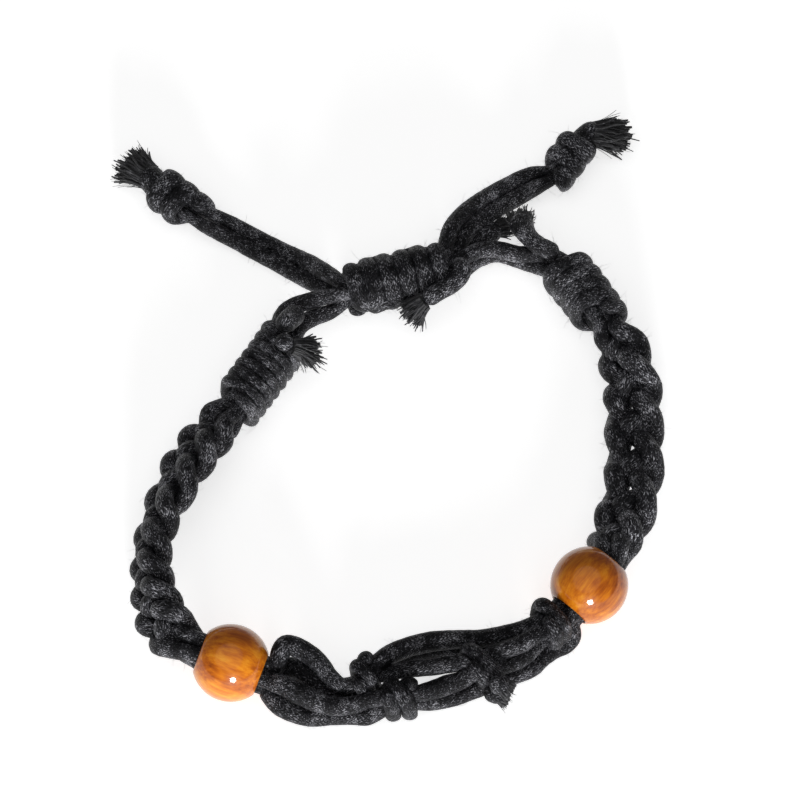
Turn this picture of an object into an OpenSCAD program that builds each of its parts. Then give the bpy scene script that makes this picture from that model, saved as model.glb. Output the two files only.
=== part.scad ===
// Adjustable cord bracelet: two drilled wooden beads, two flat braids of four cords,
// an open knotted net between the beads, and a sliding square knot that closes the loop.

/* [Cord] */
// Diameter of the waxed cotton cord
cord_d = 1.9; // [1.8:0.05:1.9]
// Width of a cord where a braid flattens it
braided_w = 1.9; // [1.8:0.05:2]
// Thickness of a cord where a braid flattens it
braided_t = 1.65; // [1.6:0.05:1.7]

/* [Beads] */
// Diameter of a bead
bead_d = 10; // [9.6:0.1:10]
// Diameter of the hole through a bead
bead_hole_d = 5.2; // [5.2:0.1:5.4]

/* [Braids] */
// Width of a braid over its outer lobes
braid_w = 7.9; // [7.6:0.1:8.2]
// Height of a braid over its crossings
braid_h = 4.2; // [4.2:0.1:4.4]

/* [Knots] */
// Outer diameter of the two wrapped knots
wrapped_d = 6.5; // [6.5:0.1:6.8]
// Outer diameter of the sliding knot
sliding_d = 7.1; // [7.1:0.1:7.3]
// Half knots along the sliding knot
half_knots = 6; // [5:1:6]

/* [Hidden] */

// Middle of the bracelet without its loose drawcords, which is moved to the origin
MIDDLE = [0.05, -1.11, 0];

CORD_COLOUR = "#1d1c1f";
WOOD_COLOUR = "#b8661f";

// Small room left between pieces that touch
GAP = 0.1;
cord_r = cord_d / 2;
// Place of each cord of a round bundle of four, from the bundle's middle
bundle = cord_r + GAP / 2;

// Columns of every route: place, and thickness as a share of the cord
X = 0;
Y = 1;
Z = 2;
THICK = 3;
// More columns of a strap: roll of the band in degrees, spread from a bundle to a full
// braid, and lobes passed
ROLL = 4;
SPREAD = 5;
LOBES = 6;

// Middle line of the left strap, from the net side of its bead to its wrapped knot
LEFT_STRAP = [
    [-17.0, -32.9, 4.2, 1, 0, 0, -0.5],
    [-21.3, -31.5, 5.0, 1, 0, 0, -0.5],
    [-25.2, -30.2, 5.7, 1, -8, 0, -0.5],
    [-27.3, -29.0, 5.4, 1, -24, 0.15, -0.4],
    [-29.4, -26.2, 4.8, 1, -46, 1, 0.05],
    [-30.7, -23.0, 4.7, 1, -64, 1, 0.95],
    [-31.4, -19.1, 4.6, 1, -74, 1, 1.95],
    [-31.4, -14.9, 4.5, 1, -76, 1, 2.95],
    [-30.7, -11.2, 4.3, 1, -71, 1, 3.75],
    [-29.4, -7.5, 4.2, 1, -61, 1, 4.5],
    [-28.0, -4.1, 4.0, 1, -52, 1, 5.15],
    [-26.4, -0.8, 3.8, 1, -45, 1, 5.9],
    [-24.5, 2.3, 3.4, 1, -42, 1, 6.75],
    [-22.7, 4.8, 3.3, 0.9, -16, 0.6, 7.5],
    [-20.9, 7.0, 3.3, 0.8, 0, 0, 7.5],
    [-19.0, 9.8, 3.3, 0.8, 0, 0, 7.5],
];

// Middle line of the right strap, from the net side of its bead to its wrapped knot
RIGHT_STRAP = [
    [21.5, -23.5, 3.8, 1, 0, 0, -0.5],
    [24.4, -20.1, 5.0, 1, 0, 0, -0.5],
    [26.8, -17.3, 6.0, 1, 0, 0, -0.5],
    [27.5, -15.2, 5.8, 1, -12, 0.4, -0.5],
    [27.8, -13.1, 4.8, 1, -26, 1, 0.05],
    [29.0, -9.4, 3.9, 1, -16, 1, 0.8],
    [29.8, -5.6, 3.5, 1, -8, 1, 1.4],
    [30.2, -1.8, 3.1, 1, -8, 1, 2.0],
    [30.2, 2.0, 2.8, 1, -8, 1, 2.6],
    [30.2, 5.6, 2.7, 1, -8, 1, 3.2],
    [30.1, 9.2, 3.0, 1, -22, 1, 3.8],
    [29.6, 12.6, 3.4, 1, -42, 1, 4.4],
    [28.7, 15.3, 3.5, 1, -52, 1, 4.9],
    [27.6, 17.7, 3.4, 0.9, -24, 0.35, 5.5],
    [26.4, 19.8, 3.4, 0.8, 0, 0, 5.5],
    [24.6, 22.6, 3.4, 0.8, 0, 0, 5.5],
];

// Cords of the net, from the left bead to the right bead
NET_CORD_1 = [
    [-15.9, -32.2, 5.1, 1], [-15.3, -31.9, 5.6, 1], [-15.0, -30.9, 6.4, 1.1],
    [-14.3, -29.9, 6.8, 1.1], [-13.0, -30.1, 6.7, 1.1], [-11.7, -30.7, 6.3, 1.1],
    [-10.5, -31.4, 5.7, 1.1], [-9.5, -32.3, 5.0, 1.05], [-8.6, -33.3, 4.3, 1],
    [-7.2, -34.1, 3.6, 0.95], [-5.2, -33.8, 4.1, 0.85], [-3.6, -32.3, 4.5, 0.85],
    [-2.4, -31.0, 4.4, 1], [-0.8, -29.7, 4.2, 1.1], [1.3, -28.6, 4.0, 1.1],
    [4.4, -27.8, 4.0, 1.1], [7.4, -27.5, 4.0, 1.05], [10.5, -27.4, 4.0, 1],
    [13.6, -26.9, 4.3, 1], [16.0, -26.4, 4.8, 0.95], [18.2, -25.4, 5.3, 0.85],
    [19.6, -24.2, 5.1, 0.85], [20.2, -23.5, 4.6, 1],
];
NET_CORD_2 = [
    [-16.3, -32.1, 3.1, 1], [-15.1, -32.1, 3.4, 1.05], [-13.4, -31.5, 3.9, 1.15],
    [-11.7, -32.4, 3.6, 1.2], [-9.9, -33.7, 2.5, 1.15], [-8.0, -34.8, 1.5, 1],
    [-6.6, -34.7, 1.5, 0.95], [-5.2, -33.8, 2.3, 0.85], [-3.6, -32.3, 2.7, 0.85],
    [-2.2, -32.0, 2.8, 0.85], [-0.4, -32.1, 3.7, 0.85], [1.8, -32.1, 4.5, 0.92],
    [4.1, -32.0, 4.7, 0.92], [7.0, -31.5, 4.7, 0.9], [9.2, -31.0, 4.5, 0.85],
    [11.2, -30.4, 4.6, 0.85], [12.6, -30.1, 5.1, 0.95], [14.0, -29.8, 5.6, 1],
    [15.6, -29.1, 5.6, 1], [17.3, -27.9, 5.5, 0.95],
    [19.3, -26.5, 5.2, 0.85], [20.8, -25.4, 5.0, 0.85], [21.7, -24.8, 4.6, 1],
];
NET_CORD_3 = [
    [-16.5, -34.1, 5.1, 1], [-15.6, -34.5, 5.2, 1.05], [-14.5, -35.0, 5.3, 1.1],
    [-12.8, -35.8, 5.0, 1.15], [-10.6, -36.5, 4.1, 1.15], [-7.8, -36.9, 3.3, 1.05],
    [-5.4, -36.7, 3.5, 0.95], [-3.8, -36.4, 4.0, 0.9], [-1.0, -35.9, 4.1, 0.85],
    [1.6, -35.5, 4.1, 0.85], [3.6, -35.1, 3.9, 1], [6.0, -34.1, 3.7, 1.1],
    [8.0, -33.4, 3.8, 1], [9.7, -32.7, 4.3, 0.85], [11.7, -32.1, 4.4, 0.85],
    [13.8, -31.1, 3.7, 0.95], [16.0, -29.8, 3.6, 1], [17.7, -28.1, 3.7, 0.9],
    [19.3, -26.5, 3.5, 0.85], [20.4, -25.2, 3.2, 0.85], [20.3, -24.2, 2.9, 0.85],
    [20.5, -23.1, 2.7, 1],
];
NET_CORD_4 = [
    [-16.9, -34.0, 3.1, 1], [-16.2, -34.9, 2.6, 1.1], [-15.0, -36.1, 2.1, 1.15],
    [-13.2, -37.0, 1.8, 1.1], [-11.0, -37.2, 1.2, 1.1], [-7.8, -37.0, 1.1, 1.05],
    [-5.4, -37.1, 1.2, 1], [-3.9, -37.3, 1.4, 1], [-2.5, -36.8, 1.9, 0.95],
    [-1.0, -36.1, 2.3, 0.85], [1.6, -35.7, 2.3, 0.85],
    [4.2, -35.2, 1.4, 0.95], [7.4, -34.2, 1.1, 1], [10.5, -32.9, 1.1, 1],
    [13.0, -31.8, 1.1, 1], [15.1, -31.0, 1.1, 1], [17.0, -30.0, 1.0, 1],
    [18.4, -28.5, 0.95, 1], [19.9, -27.3, 0.95, 1], [21.3, -26.6, 1.0, 1],
    [22.2, -25.7, 1.6, 1], [22.1, -24.4, 2.7, 1],
];
NET_CORD_5 = [
    [-2.6, -30.5, 2.3, 0.9], [-1.0, -29.4, 2.0, 1], [1.3, -28.3, 1.7, 1.05],
    [4.4, -27.7, 1.7, 1.05], [7.4, -27.6, 1.7, 1], [10.5, -27.7, 1.8, 1],
    [13.6, -27.3, 2.2, 1], [16.0, -26.4, 2.9, 0.95], [18.2, -25.4, 3.5, 0.85],
    [18.9, -24.7, 3.6, 0.85],
];
NET_CORDS = [NET_CORD_1, NET_CORD_2, NET_CORD_3, NET_CORD_4, NET_CORD_5];

// Two trimmed ends that stand out of the net's third knot
NET_END_1 = [[11.7, -34.6, 6.0, 1], [12.9, -35.1, 5.7, 1.1], [14.1, -35.6, 5.3, 1.2]];
NET_END_2 = [[11.0, -34.8, 3.8, 1], [12.3, -35.1, 3.4, 1.05], [13.7, -35.4, 3.0, 1.1]];

// Wrapped knots of the net: middle line of each
NET_KNOTS = [
    [[-5.2, -33.7, 3.1], [-3.2, -31.8, 3.6]],
    [[-2.0, -36.0, 3.2], [2.2, -35.6, 3.2]],
    [[9.3, -31.9, 4.4], [11.5, -31.2, 4.5]],
    [[18.6, -26.0, 4.4], [20.0, -24.6, 4.3]],
];
// Cords side by side in each of them, across and upwards, its turns, and how far it slants
CORDS_ACROSS = 0;
CORDS_UP = 1;
CORD_TURNS = 2;
CORD_SLANT = 3;
NET_HOLDS = [[1, 2, 2, 0.4], [1, 2, 2, -0.7], [2, 1, 1.5, -0.9], [2, 2, 1.5, 0.3]];

// Wrapped knots beside the drawcords: middle line of each
LEFT_WRAP = [[-20.7, 7.3, 3.3], [-17.4, 12.3, 3.3], [-14.7, 16.6, 3.4]];
RIGHT_WRAP = [[26.1, 20.2, 3.4], [24.4, 23.1, 3.4], [22.4, 26.0, 3.4], [21.2, 27.5, 3.4]];

// Middle line of the sliding knot
SLIDING = [[-6.6, 23.9, 3.9], [6.2, 27.5, 3.9]];

// Drawcords on their way from a wrapped knot to the sliding knot
LEFT_DRAWCORD_1_IN = [
    [-18.4, 12.1, 3.4, 0.85], [-17.0, 14.2, 3.5, 0.85], [-15.5, 16.5, 3.6, 0.85],
    [-15.3, 18.8, 4.1, 1], [-14.1, 21.0, 4.3, 1], [-11.6, 22.1, 4.4, 1],
    [-8.7, 22.8, 4.6, 0.9],
];
LEFT_DRAWCORD_2_IN = [
    [-17.0, 11.1, 3.2, 0.85], [-15.6, 13.3, 3.2, 0.85], [-14.2, 15.4, 3.2, 0.88],
    [-13.4, 17.5, 2.9, 1], [-12.6, 19.4, 2.7, 1], [-10.9, 20.7, 2.7, 1],
    [-8.7, 21.5, 2.8, 0.9],
];
RIGHT_DRAWCORD_1_IN = [
    [23.0, 23.7, 3.4, 0.85], [21.7, 25.5, 3.4, 0.85], [20.4, 27.0, 3.2, 0.9],
    [18.2, 28.5, 2.3, 1], [15.5, 30.0, 1.5, 1], [12.8, 30.9, 1.5, 1],
    [10.6, 29.9, 2.1, 1], [9.2, 28.5, 2.7, 0.95], [8.2, 27.3, 3.0, 0.85],
];
RIGHT_DRAWCORD_2_IN = [
    [24.4, 24.6, 3.4, 0.85], [23.1, 26.5, 3.4, 0.85], [21.7, 28.2, 3.6, 0.9],
    [19.0, 29.4, 3.8, 1], [15.6, 29.7, 3.4, 1], [12.8, 30.4, 3.4, 1],
    [10.4, 29.9, 4.1, 0.95], [8.4, 28.4, 4.7, 0.85],
];
// Drawcords on their way from the sliding knot to an end knot
LEFT_DRAWCORD_1_OUT = [
    [7.4, 30.4, 3.3, 0.95], [8.5, 32.5, 3.2, 1], [10.2, 35.0, 2.5, 1],
    [12.8, 37.4, 1.8, 1], [15.4, 39.2, 1.6, 1], [18.2, 40.7, 2.1, 0.88],
    [20.7, 41.9, 2.5, 0.56], [22.3, 44.2, 2.6, 0.56], [23.5, 46.0, 2.6, 0.56],
];
LEFT_DRAWCORD_2_OUT = [
    [6.2, 30.3, 5.0, 0.95], [6.8, 32.6, 4.9, 1], [8.2, 35.2, 4.0, 1],
    [10.4, 37.8, 2.9, 1], [13.5, 40.4, 2.0, 1], [16.8, 42.3, 2.1, 0.88],
    [19.7, 42.9, 2.5, 0.56], [21.3, 44.8, 2.6, 0.56], [22.5, 46.6, 2.6, 0.56],
];
RIGHT_DRAWCORD_1_OUT = [
    [-8.5, 26.0, 4.2, 0.95], [-11.2, 28.8, 2.6, 1], [-14.4, 31.2, 1.3, 1],
    [-17.8, 33.4, 1.0, 1], [-21.0, 35.3, 1.2, 1], [-23.9, 36.4, 2.1, 0.88],
    [-26.2, 37.3, 2.5, 0.66], [-29.0, 39.7, 2.6, 0.66],
];
RIGHT_DRAWCORD_2_OUT = [
    [-8.8, 25.1, 2.2, 0.95], [-12.2, 27.5, 1.2, 1], [-15.4, 29.7, 1.0, 1],
    [-18.8, 31.7, 1.0, 1], [-21.9, 33.5, 1.2, 1], [-24.9, 34.7, 2.1, 0.88],
    [-27.2, 36.1, 2.5, 0.66], [-30.0, 38.5, 2.6, 0.66],
];

// End knots: middle line of each
LEFT_END = [[-26.3, 36.3, 2.5], [-30.9, 40.4, 2.6]];
RIGHT_END = [[20.2, 42.1, 2.5], [23.4, 46.9, 2.6]];

// Cut cord ends beside the knots
LEFT_STUB_1 = [[-15.6, 14.7, 7.5, 1], [-14.6, 14.3, 7.5, 1], [-13.5, 14.0, 7.1, 1]];
LEFT_STUB_2 = [
    [-15.0, 16.2, 7.8, 1], [-14.4, 17.3, 7.3, 1.1], [-13.5, 18.8, 6.2, 1.2],
    [-12.7, 20.2, 5.4, 1.1],
];
RIGHT_STUB = [
    [20.6, 28.4, 5.6, 1], [19.0, 29.1, 5.9, 1], [17.9, 29.7, 5.9, 1], [16.9, 30.8, 5.7, 1],
    [16.2, 32.3, 5.1, 1.2], [15.8, 33.9, 4.3, 1.4], [15.7, 34.8, 3.9, 1.45],
];
SLIDING_STUB_1 = [
    [7.6, 27.2, 6.6, 1], [8.2, 25.4, 6.4, 1], [7.2, 23.9, 6.2, 1], [5.3, 22.8, 5.8, 1],
    [3.3, 21.7, 5.3, 1.05],
];
SLIDING_STUB_2 = [
    [7.4, 30.4, 0.95, 1], [8.5, 31.7, 0.95, 1], [9.9, 33.0, 1.1, 1.1], [11.6, 34.1, 1.2, 1.2],
    [13.2, 35.0, 1.2, 1.2],
];

// Frayed ends: root, waist and tip of each
LEFT_TUFT = [[-13.5, 14.0, 7.0], [-13.0, 13.9, 6.7], [-10.6, 14.1, 5.1]];
SLIDING_TUFT = [[3.3, 21.7, 5.2], [2.9, 21.5, 5.0], [1.3, 20.5, 3.8]];
LEFT_TASSEL = [[-31.9, 41.6, 2.5], [-32.3, 42.1, 2.4], [-34.8, 44.1, 2.0]];
RIGHT_TASSEL = [[24.5, 48.2, 2.5], [25.2, 48.5, 2.4], [29.4, 48.2, 2.0]];

// Sides of the loose cords and of the knotted cords, and the distance between their rings
CORD_SIDES = 8;
KNOT_SIDES = 6;
NET_STEP = 1.3;
DRAW_STEP = 2;
STRAP_STEP = 0.7;
// Rings in a turn of a wrap
WRAP_STEPS = 12;
// Angle where a wrap starts: over the cords that it holds
WRAP_START = 90;
// How square a wrap lies round the cords that it holds; 2 is an ellipse
SQUARE = 3;
// Slimmest half thickness of a wound cord that is pressed flat
FLAT = 0.65;
// Half the width of a wrap of the net, and the most that it takes of the way from turn to turn
NET_WRAP = 0.8;
NET_WRAP_SHARE = 0.46;

function unit(v) = v / norm(v);
function place(row) = [row[X], row[Y], row[Z]];
function mix(a, b, t) = a + (b - a) * t;
function limited(v, low, high) = min(max(v, low), high);

// A smooth curve through the rows of a table, each column alike
function between(before, a, b, after, t) =
    0.5 * (2 * a + (b - before) * t
           + (2 * before - 5 * a + 4 * b - after) * t * t
           + (3 * a - before - 3 * b + after) * t * t * t);
function smooth(rows, step) =
    let (last = len(rows) - 1)
    [
        for (i = [0 : last - 1])
            let (
                a = rows[i],
                b = rows[i + 1],
                before = i > 0 ? rows[i - 1] : 2 * a - b,
                after = i < last - 1 ? rows[i + 2] : 2 * b - a,
                parts = max(1, round(norm(place(b) - place(a)) / step))
            )
            for (k = [0 : parts - 1]) between(before, a, b, after, k / parts),
        rows[last]
    ];

// Distance from the start to each row
function distances(rows) = [
    for (i = 0, run = 0; i < len(rows);
         run = run + (i + 1 < len(rows) ? norm(place(rows[i + 1]) - place(rows[i])) : 0),
         i = i + 1)
        run
];

// The row at a distance along a smooth line
function row_at(rows, runs, run) = [
    for (c = [0 : len(rows[0]) - 1])
        lookup(run, [for (i = [0 : len(rows) - 1]) [runs[i], rows[i][c]]])
];

// Unit direction of a line at each of its places
function headings(line) =
    let (last = len(line) - 1)
    [for (i = [0 : last]) unit(line[min(i + 1, last)] - line[max(i - 1, 0)])];

// A side direction carried along a line without twisting
function squared(side, heading) = unit(side - heading * (side * heading));
function any_side(heading) =
    squared(abs(heading[Z]) < 0.8 ? [0, 0, 1] : [1, 0, 0], heading);
function carried(heads) = [
    for (i = 0, side = any_side(heads[0]); i < len(heads);
         side = i + 1 < len(heads) ? squared(side, heads[i + 1]) : side,
         i = i + 1)
        side
];

// Solid swept along a line: rings of corners, with half a width along each side direction
// and half a thickness across it
module swept(line, aside, half_w, half_t, sides) {
    heads = headings(line);
    corners = [
        for (i = [0 : len(line) - 1])
            let (over = cross(heads[i], aside[i]))
            for (k = [0 : sides - 1])
                let (angle = 360 * (k + 0.5) / sides)
                line[i] + aside[i] * half_w[i] * cos(angle) + over * half_t[i] * sin(angle)
    ];
    last = len(line) - 1;
    polyhedron(
        points = corners,
        faces = [
            [for (k = [0 : sides - 1]) k],
            for (i = [0 : last - 1])
                for (k = [0 : sides - 1])
                    [
                        i * sides + k,
                        (i + 1) * sides + k,
                        (i + 1) * sides + (k + 1) % sides,
                        i * sides + (k + 1) % sides
                    ],
            [for (k = [sides - 1 : -1 : 0]) last * sides + k]
        ]
    );
}

// A round cord along a route
module cord(rows, step, sides) {
    fine = smooth(rows, step);
    line = [for (row = fine) place(row)];
    half = [for (row = fine) cord_r * row[THICK]];
    swept(line, carried(headings(line)), half, half, sides);
}

// Lateral place and height of a braided cord at a phase of its eight steps:
// it crosses the braid in three steps, turns at the edge in one, and comes back
STEPS = 8;
LOBE_STEPS = 2;
LOBE_PHASE = 1.5;
function across(phase) = -cos(360 * (phase + 0.5) / STEPS);
function height(phase) =
    let (t = phase - STEPS * floor((phase - 0.5) / STEPS))
    t < 2.5 ? cos(180 * (t - 0.5))
    : t < 4.5 ? rounded(cos(90 * (t - 2.5)))
    : t < 6.5 ? -cos(180 * (t - 4.5))
    : -rounded(cos(90 * (t - 6.5)));

// A cord keeps its height nearly to the edge of the braid, and then dips
function rounded(share) = sign(share) * sqrt(abs(share));

// Corner of the bundle of four that a cord takes where two pairs of cords cross
function corner(phase) = [sign(across(phase)), sign(height(phase))];

// Rows of one cord of a braid: a row for each quarter of the way from lobe to lobe, with its
// place, the direction of its width, half a width and half a thickness
function braided(strap, k) =
    let (
        fine = smooth(strap, STRAP_STEP),
        runs = distances(fine),
        total = runs[len(runs) - 1],
        first = strap[0][LOBES],
        last = strap[len(strap) - 1][LOBES],
        run_of = [for (i = [0 : len(fine) - 1]) if (fine[i][LOBES] > first && fine[i][LOBES] < last)
            [fine[i][LOBES], runs[i]]],
        begin = run_of[0][1],
        end = run_of[len(run_of) - 1][1],
        stops = [
            for (part = [0 : 1 / 4 : 3 / 4]) begin * part,
            for (lobe = [first + 1 / 4 : 1 / 4 : last - 1 / 4]) lookup(lobe, run_of),
            for (part = [0 : 1 / 3 : 1]) mix(end, total, part)
        ],
        heads = headings([for (run = stops) place(row_at(fine, runs, run))]),
        reach = (braid_w - braided_w) / 2,
        lift = (braid_h - braided_t) / 2,
        rings = [
            for (i = [0 : len(stops) - 1])
                let (
                    row = row_at(fine, runs, stops[i]),
                    left = unit(cross([0, 0, 1], heads[i])),
                    up = cross(heads[i], left),
                    aside = left * cos(row[ROLL]) + up * sin(row[ROLL]),
                    rise = up * cos(row[ROLL]) - left * sin(row[ROLL]),
                    phase = LOBE_PHASE + LOBE_STEPS * (limited(row[LOBES], first, last) + k),
                    near = stops[i] < total / 2 ? first : last,
                    held = corner(LOBE_PHASE + LOBE_STEPS * (near + k)) * bundle * row[THICK],
                    spread = limited(row[SPREAD], 0, 1),
                    out = mix(held[0], across(phase) * reach, spread),
                    high = mix(held[1], height(phase) * lift, spread),
                    round_r = cord_r * row[THICK]
                )
                [
                    place(row) + aside * out + rise * high,
                    rise,
                    mix(round_r, braided_w / 2, spread),
                    mix(round_r, braided_t / 2, spread)
                ]
        ],
        ways = headings([for (ring = rings) ring[0]])
    )
    [
        for (i = [0 : len(rings) - 1])
            [rings[i][0], unit(cross(rings[i][1], ways[i])), rings[i][2], rings[i][3]]
    ];

module braid_cord(strap, k) {
    color(CORD_COLOUR) {
        rows = braided(strap, k);
        swept(
            [for (row = rows) row[0]],
            [for (row = rows) row[1]],
            [for (row = rows) row[2]],
            [for (row = rows) row[3]],
            KNOT_SIDES
        );
    }
}

// A bead, turned round the hole that its four cords run through, at its strap's second row
BEAD_ROW = 1;
BEAD_FACETS = 96;
module bead(strap) {
    middle = place(strap[BEAD_ROW]);
    along = unit(place(strap[BEAD_ROW + 1]) - place(strap[BEAD_ROW - 1]));
    color(WOOD_COLOUR)
    translate(middle)
        rotate([0, -asin(along[Z]), atan2(along[Y], along[X])])
            rotate([0, 90, 0])
                rotate_extrude($fn = BEAD_FACETS)
                    difference() {
                        circle(d = bead_d, $fn = BEAD_FACETS);
                        translate([-bead_d, -bead_d])
                            square([bead_d + bead_hole_d / 2, 2 * bead_d]);
                    }
}

// A cord wound round a middle line: half width and half height of the coil, its turns,
// how far it slants, and half the thickness and half the width of the wound cord
module wound(middle, coil, turns, slant, flat) {
    fine = smooth(middle, STRAP_STEP);
    runs = distances(fine);
    total = runs[len(runs) - 1];
    heads = headings([for (row = fine) place(row)]);
    count = round(turns * WRAP_STEPS);
    rings = [
        for (i = [0 : count])
            let (
                angle = WRAP_START + 360 * turns * i / count,
                row = row_at(fine, runs, total * i / count),
                at = round((len(fine) - 1) * i / count),
                left = unit(cross([0, 0, 1], heads[at])),
                up = cross(heads[at], left),
                bulge = pow(pow(abs(cos(angle)), SQUARE) + pow(abs(sin(angle)), SQUARE), -1 / SQUARE),
                out = (left * cos(angle) * coil[0] + up * sin(angle) * coil[1]) * bulge
            )
            [row + out + heads[at] * slant * cos(angle), unit(out)]
    ];
    line = [for (ring = rings) ring[0]];
    ways = headings(line);
    swept(
        line,
        [for (i = [0 : count]) squared(rings[i][1], ways[i])],
        [for (ring = rings) flat[0]],
        [for (ring = rings) flat[1]],
        KNOT_SIDES
    );
}

// One working cord of the sliding knot, flattened out: straight bars across the knot,
// joined at alternate edges by half circles. Each place is [along, round].
BAR_STEPS = 2;
TURN_STEPS = 3;
function bars(count, pitch, reach) = [
    for (i = [0 : count - 1])
        let (toward = i % 2 == 0 ? 1 : -1, bar = reach - pitch / 2)
        each [
            for (k = [-BAR_STEPS : BAR_STEPS]) [i * pitch, toward * bar * k / BAR_STEPS],
            if (i < count - 1)
                for (k = [1 : TURN_STEPS])
                    let (angle = 180 * k / (TURN_STEPS + 1))
                    [
                        i * pitch + pitch / 2 * (1 - cos(angle)),
                        toward * (bar + pitch / 2 * sin(angle))
                    ]
        ]
];

// Half thickness and half width of the working cords, and how far they reach round the knot
WORKING = [0.75, 1.05];
WORKING_REACH = 82;
// The two sides of the knot that the working cords lie on, as angles round it
FRONT = 90;
BACK = 270;
module working_cord(facing) {
    from = SLIDING[0];
    along = unit(SLIDING[1] - from);
    left = unit(cross([0, 0, 1], along));
    up = cross(along, left);
    radius = sliding_d / 2 - WORKING[0];
    pitch = (norm(SLIDING[1] - from) - 2 * WORKING[1]) / (half_knots - 1);
    rings = [
        for (row = bars(half_knots, pitch, radius * WORKING_REACH * PI / 180))
            let (
                angle = facing + row[1] / radius * 180 / PI,
                out = left * cos(angle) + up * sin(angle)
            )
            [from + along * (row[0] + WORKING[1]) + out * radius, out]
    ];
    line = [for (ring = rings) ring[0]];
    ways = headings(line);
    swept(
        line,
        [for (i = [0 : len(line) - 1]) squared(rings[i][1], ways[i])],
        [for (ring = rings) WORKING[0]],
        [for (ring = rings) WORKING[1]],
        KNOT_SIDES
    );
}

// Place of each drawcord in the bundle at the sliding knot's left end, as an angle
UPPER_RIGHT = 45;
UPPER_LEFT = 135;
LOWER_LEFT = 225;
LOWER_RIGHT = 315;

// Stretch of a drawcord inside the sliding knot: the bundle of four makes half a turn,
// from one end of the knot to the other, and starts with this cord at an angle
PRESSED = 0.8;
PASS_STEPS = 6;
function passing(start_angle, back = false) =
    let (
        along = unit(SLIDING[1] - SLIDING[0]),
        left = unit(cross([0, 0, 1], along)),
        reach = (cord_r * PRESSED + GAP / 2) * sqrt(2)
    )
    [
        for (i = [0 : PASS_STEPS])
            let (
                part = back ? 1 - i / PASS_STEPS : i / PASS_STEPS,
                angle = start_angle + 180 * part,
                middle = mix(SLIDING[0], SLIDING[1], part),
                p = middle + left * reach * cos(angle) + [0, 0, 1] * reach * sin(angle)
            )
            [p[X], p[Y], p[Z], PRESSED]
    ];

// A drawcord from its wrapped knot through the sliding knot to its end knot
module drawcord(inward, start_angle, outward, back = false) {
    color(CORD_COLOUR)
    cord(concat(inward, passing(start_angle, back), outward), DRAW_STEP, CORD_SIDES);
}

// Columns of a frayed end's size: radius of its root, how far its locks fan out, and locks
ROOT_R = 0;
FAN = 1;
LOCKS = 2;
TUFT = [0.9, 1.6, 8];
TASSEL = [1.1, 2.2, 10];
// Radius of a lock's tip, and of its start as a share of the root
TIP_R = 0.3;
START = 0.6;
// Every second lock leans out less and reaches further
STRAIGHTER = 0.55;
// Share of its lean that a lock has where it starts, and how flat the fan is
START_LEAN = 0.3;
FAN_FLATNESS = 0.6;
LOCK_SIDES = 5;

// A frayed end: locks that fan out from the end of a cord, fused at the root
module frayed(rows, size) {
    root = rows[0];
    waist = rows[1];
    tip = rows[2];
    along = unit(tip - waist);
    side = any_side(along);
    over = cross(along, side);
    hull() {
        translate(root) sphere(r = size[ROOT_R], $fn = KNOT_SIDES);
        translate(waist) sphere(r = size[ROOT_R], $fn = KNOT_SIDES);
    }
    for (k = [0 : size[LOCKS] - 1]) {
        angle = 360 * k / size[LOCKS];
        lean = k % 2 == 0 ? 1 : STRAIGHTER;
        out = (side * cos(angle) * FAN_FLATNESS + over * sin(angle)) * size[FAN] * lean;
        hull() {
            translate(waist + out * START_LEAN) sphere(r = size[ROOT_R] * START, $fn = KNOT_SIDES);
            translate(tip + out + along * (1 - lean)) sphere(r = TIP_R, $fn = LOCK_SIDES);
        }
    }
}

module net_cord(rows) {
    color(CORD_COLOUR)
    cord(rows, NET_STEP, KNOT_SIDES);
}

// Half the width of a wrap's middle round cords, from how many cords lie side by side
HELD = 0.87;
function held(count) = cord_r * HELD * count + FLAT + GAP;

module net_knot(k) {
    hold = NET_HOLDS[k];
    coil = [held(hold[CORDS_ACROSS]), held(hold[CORDS_UP])];
    pitch = norm(NET_KNOTS[k][1] - NET_KNOTS[k][0]) / hold[CORD_TURNS];
    color(CORD_COLOUR)
    wound(
        NET_KNOTS[k], coil, hold[CORD_TURNS], hold[CORD_SLANT],
        [FLAT, min(NET_WRAP, pitch * NET_WRAP_SHARE)]
    );
}

module net_cut_ends() {
    color(CORD_COLOUR) {
        cord(NET_END_1, NET_STEP, KNOT_SIDES);
        cord(NET_END_2, NET_STEP, KNOT_SIDES);
    }
}

// Columns of a wrap's winding: turns, slant, and half the width of the wound cord
TURNS = 0;
SLANT = 1;
HALF_WIDTH = 2;
LEFT_WINDING = [7, 0.5, 0.75];
RIGHT_WINDING = [4.5, 0.9, 0.9];
END_WINDING = [2.5, 0.5, cord_r];
wrapped_r = wrapped_d / 2 - FLAT;
module wrap(middle, coil, winding) {
    color(CORD_COLOUR)
    wound(middle, coil, winding[TURNS], winding[SLANT], [FLAT, winding[HALF_WIDTH]]);
}

module left_cut_ends() {
    color(CORD_COLOUR) {
        cord(LEFT_STUB_1, NET_STEP, KNOT_SIDES);
        cord(LEFT_STUB_2, NET_STEP, KNOT_SIDES);
        frayed(LEFT_TUFT, TUFT);
    }
}

module right_cut_ends() {
    color(CORD_COLOUR) {
        cord(RIGHT_STUB, NET_STEP, KNOT_SIDES);
    }
}

module sliding_knot() {
    color(CORD_COLOUR) {
        working_cord(FRONT);
        working_cord(BACK);
    }
}

module sliding_knot_cut_ends() {
    color(CORD_COLOUR) {
        cord(SLIDING_STUB_1, NET_STEP, KNOT_SIDES);
        cord(SLIDING_STUB_2, NET_STEP, KNOT_SIDES);
        frayed(SLIDING_TUFT, TUFT);
    }
}

// Half the width of the two pressed cords inside each end knot
LEFT_REACH = 1.5;
RIGHT_REACH = 1.2;
function end_coil(reach) = [reach + FLAT, reach / 2 + FLAT];

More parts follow.
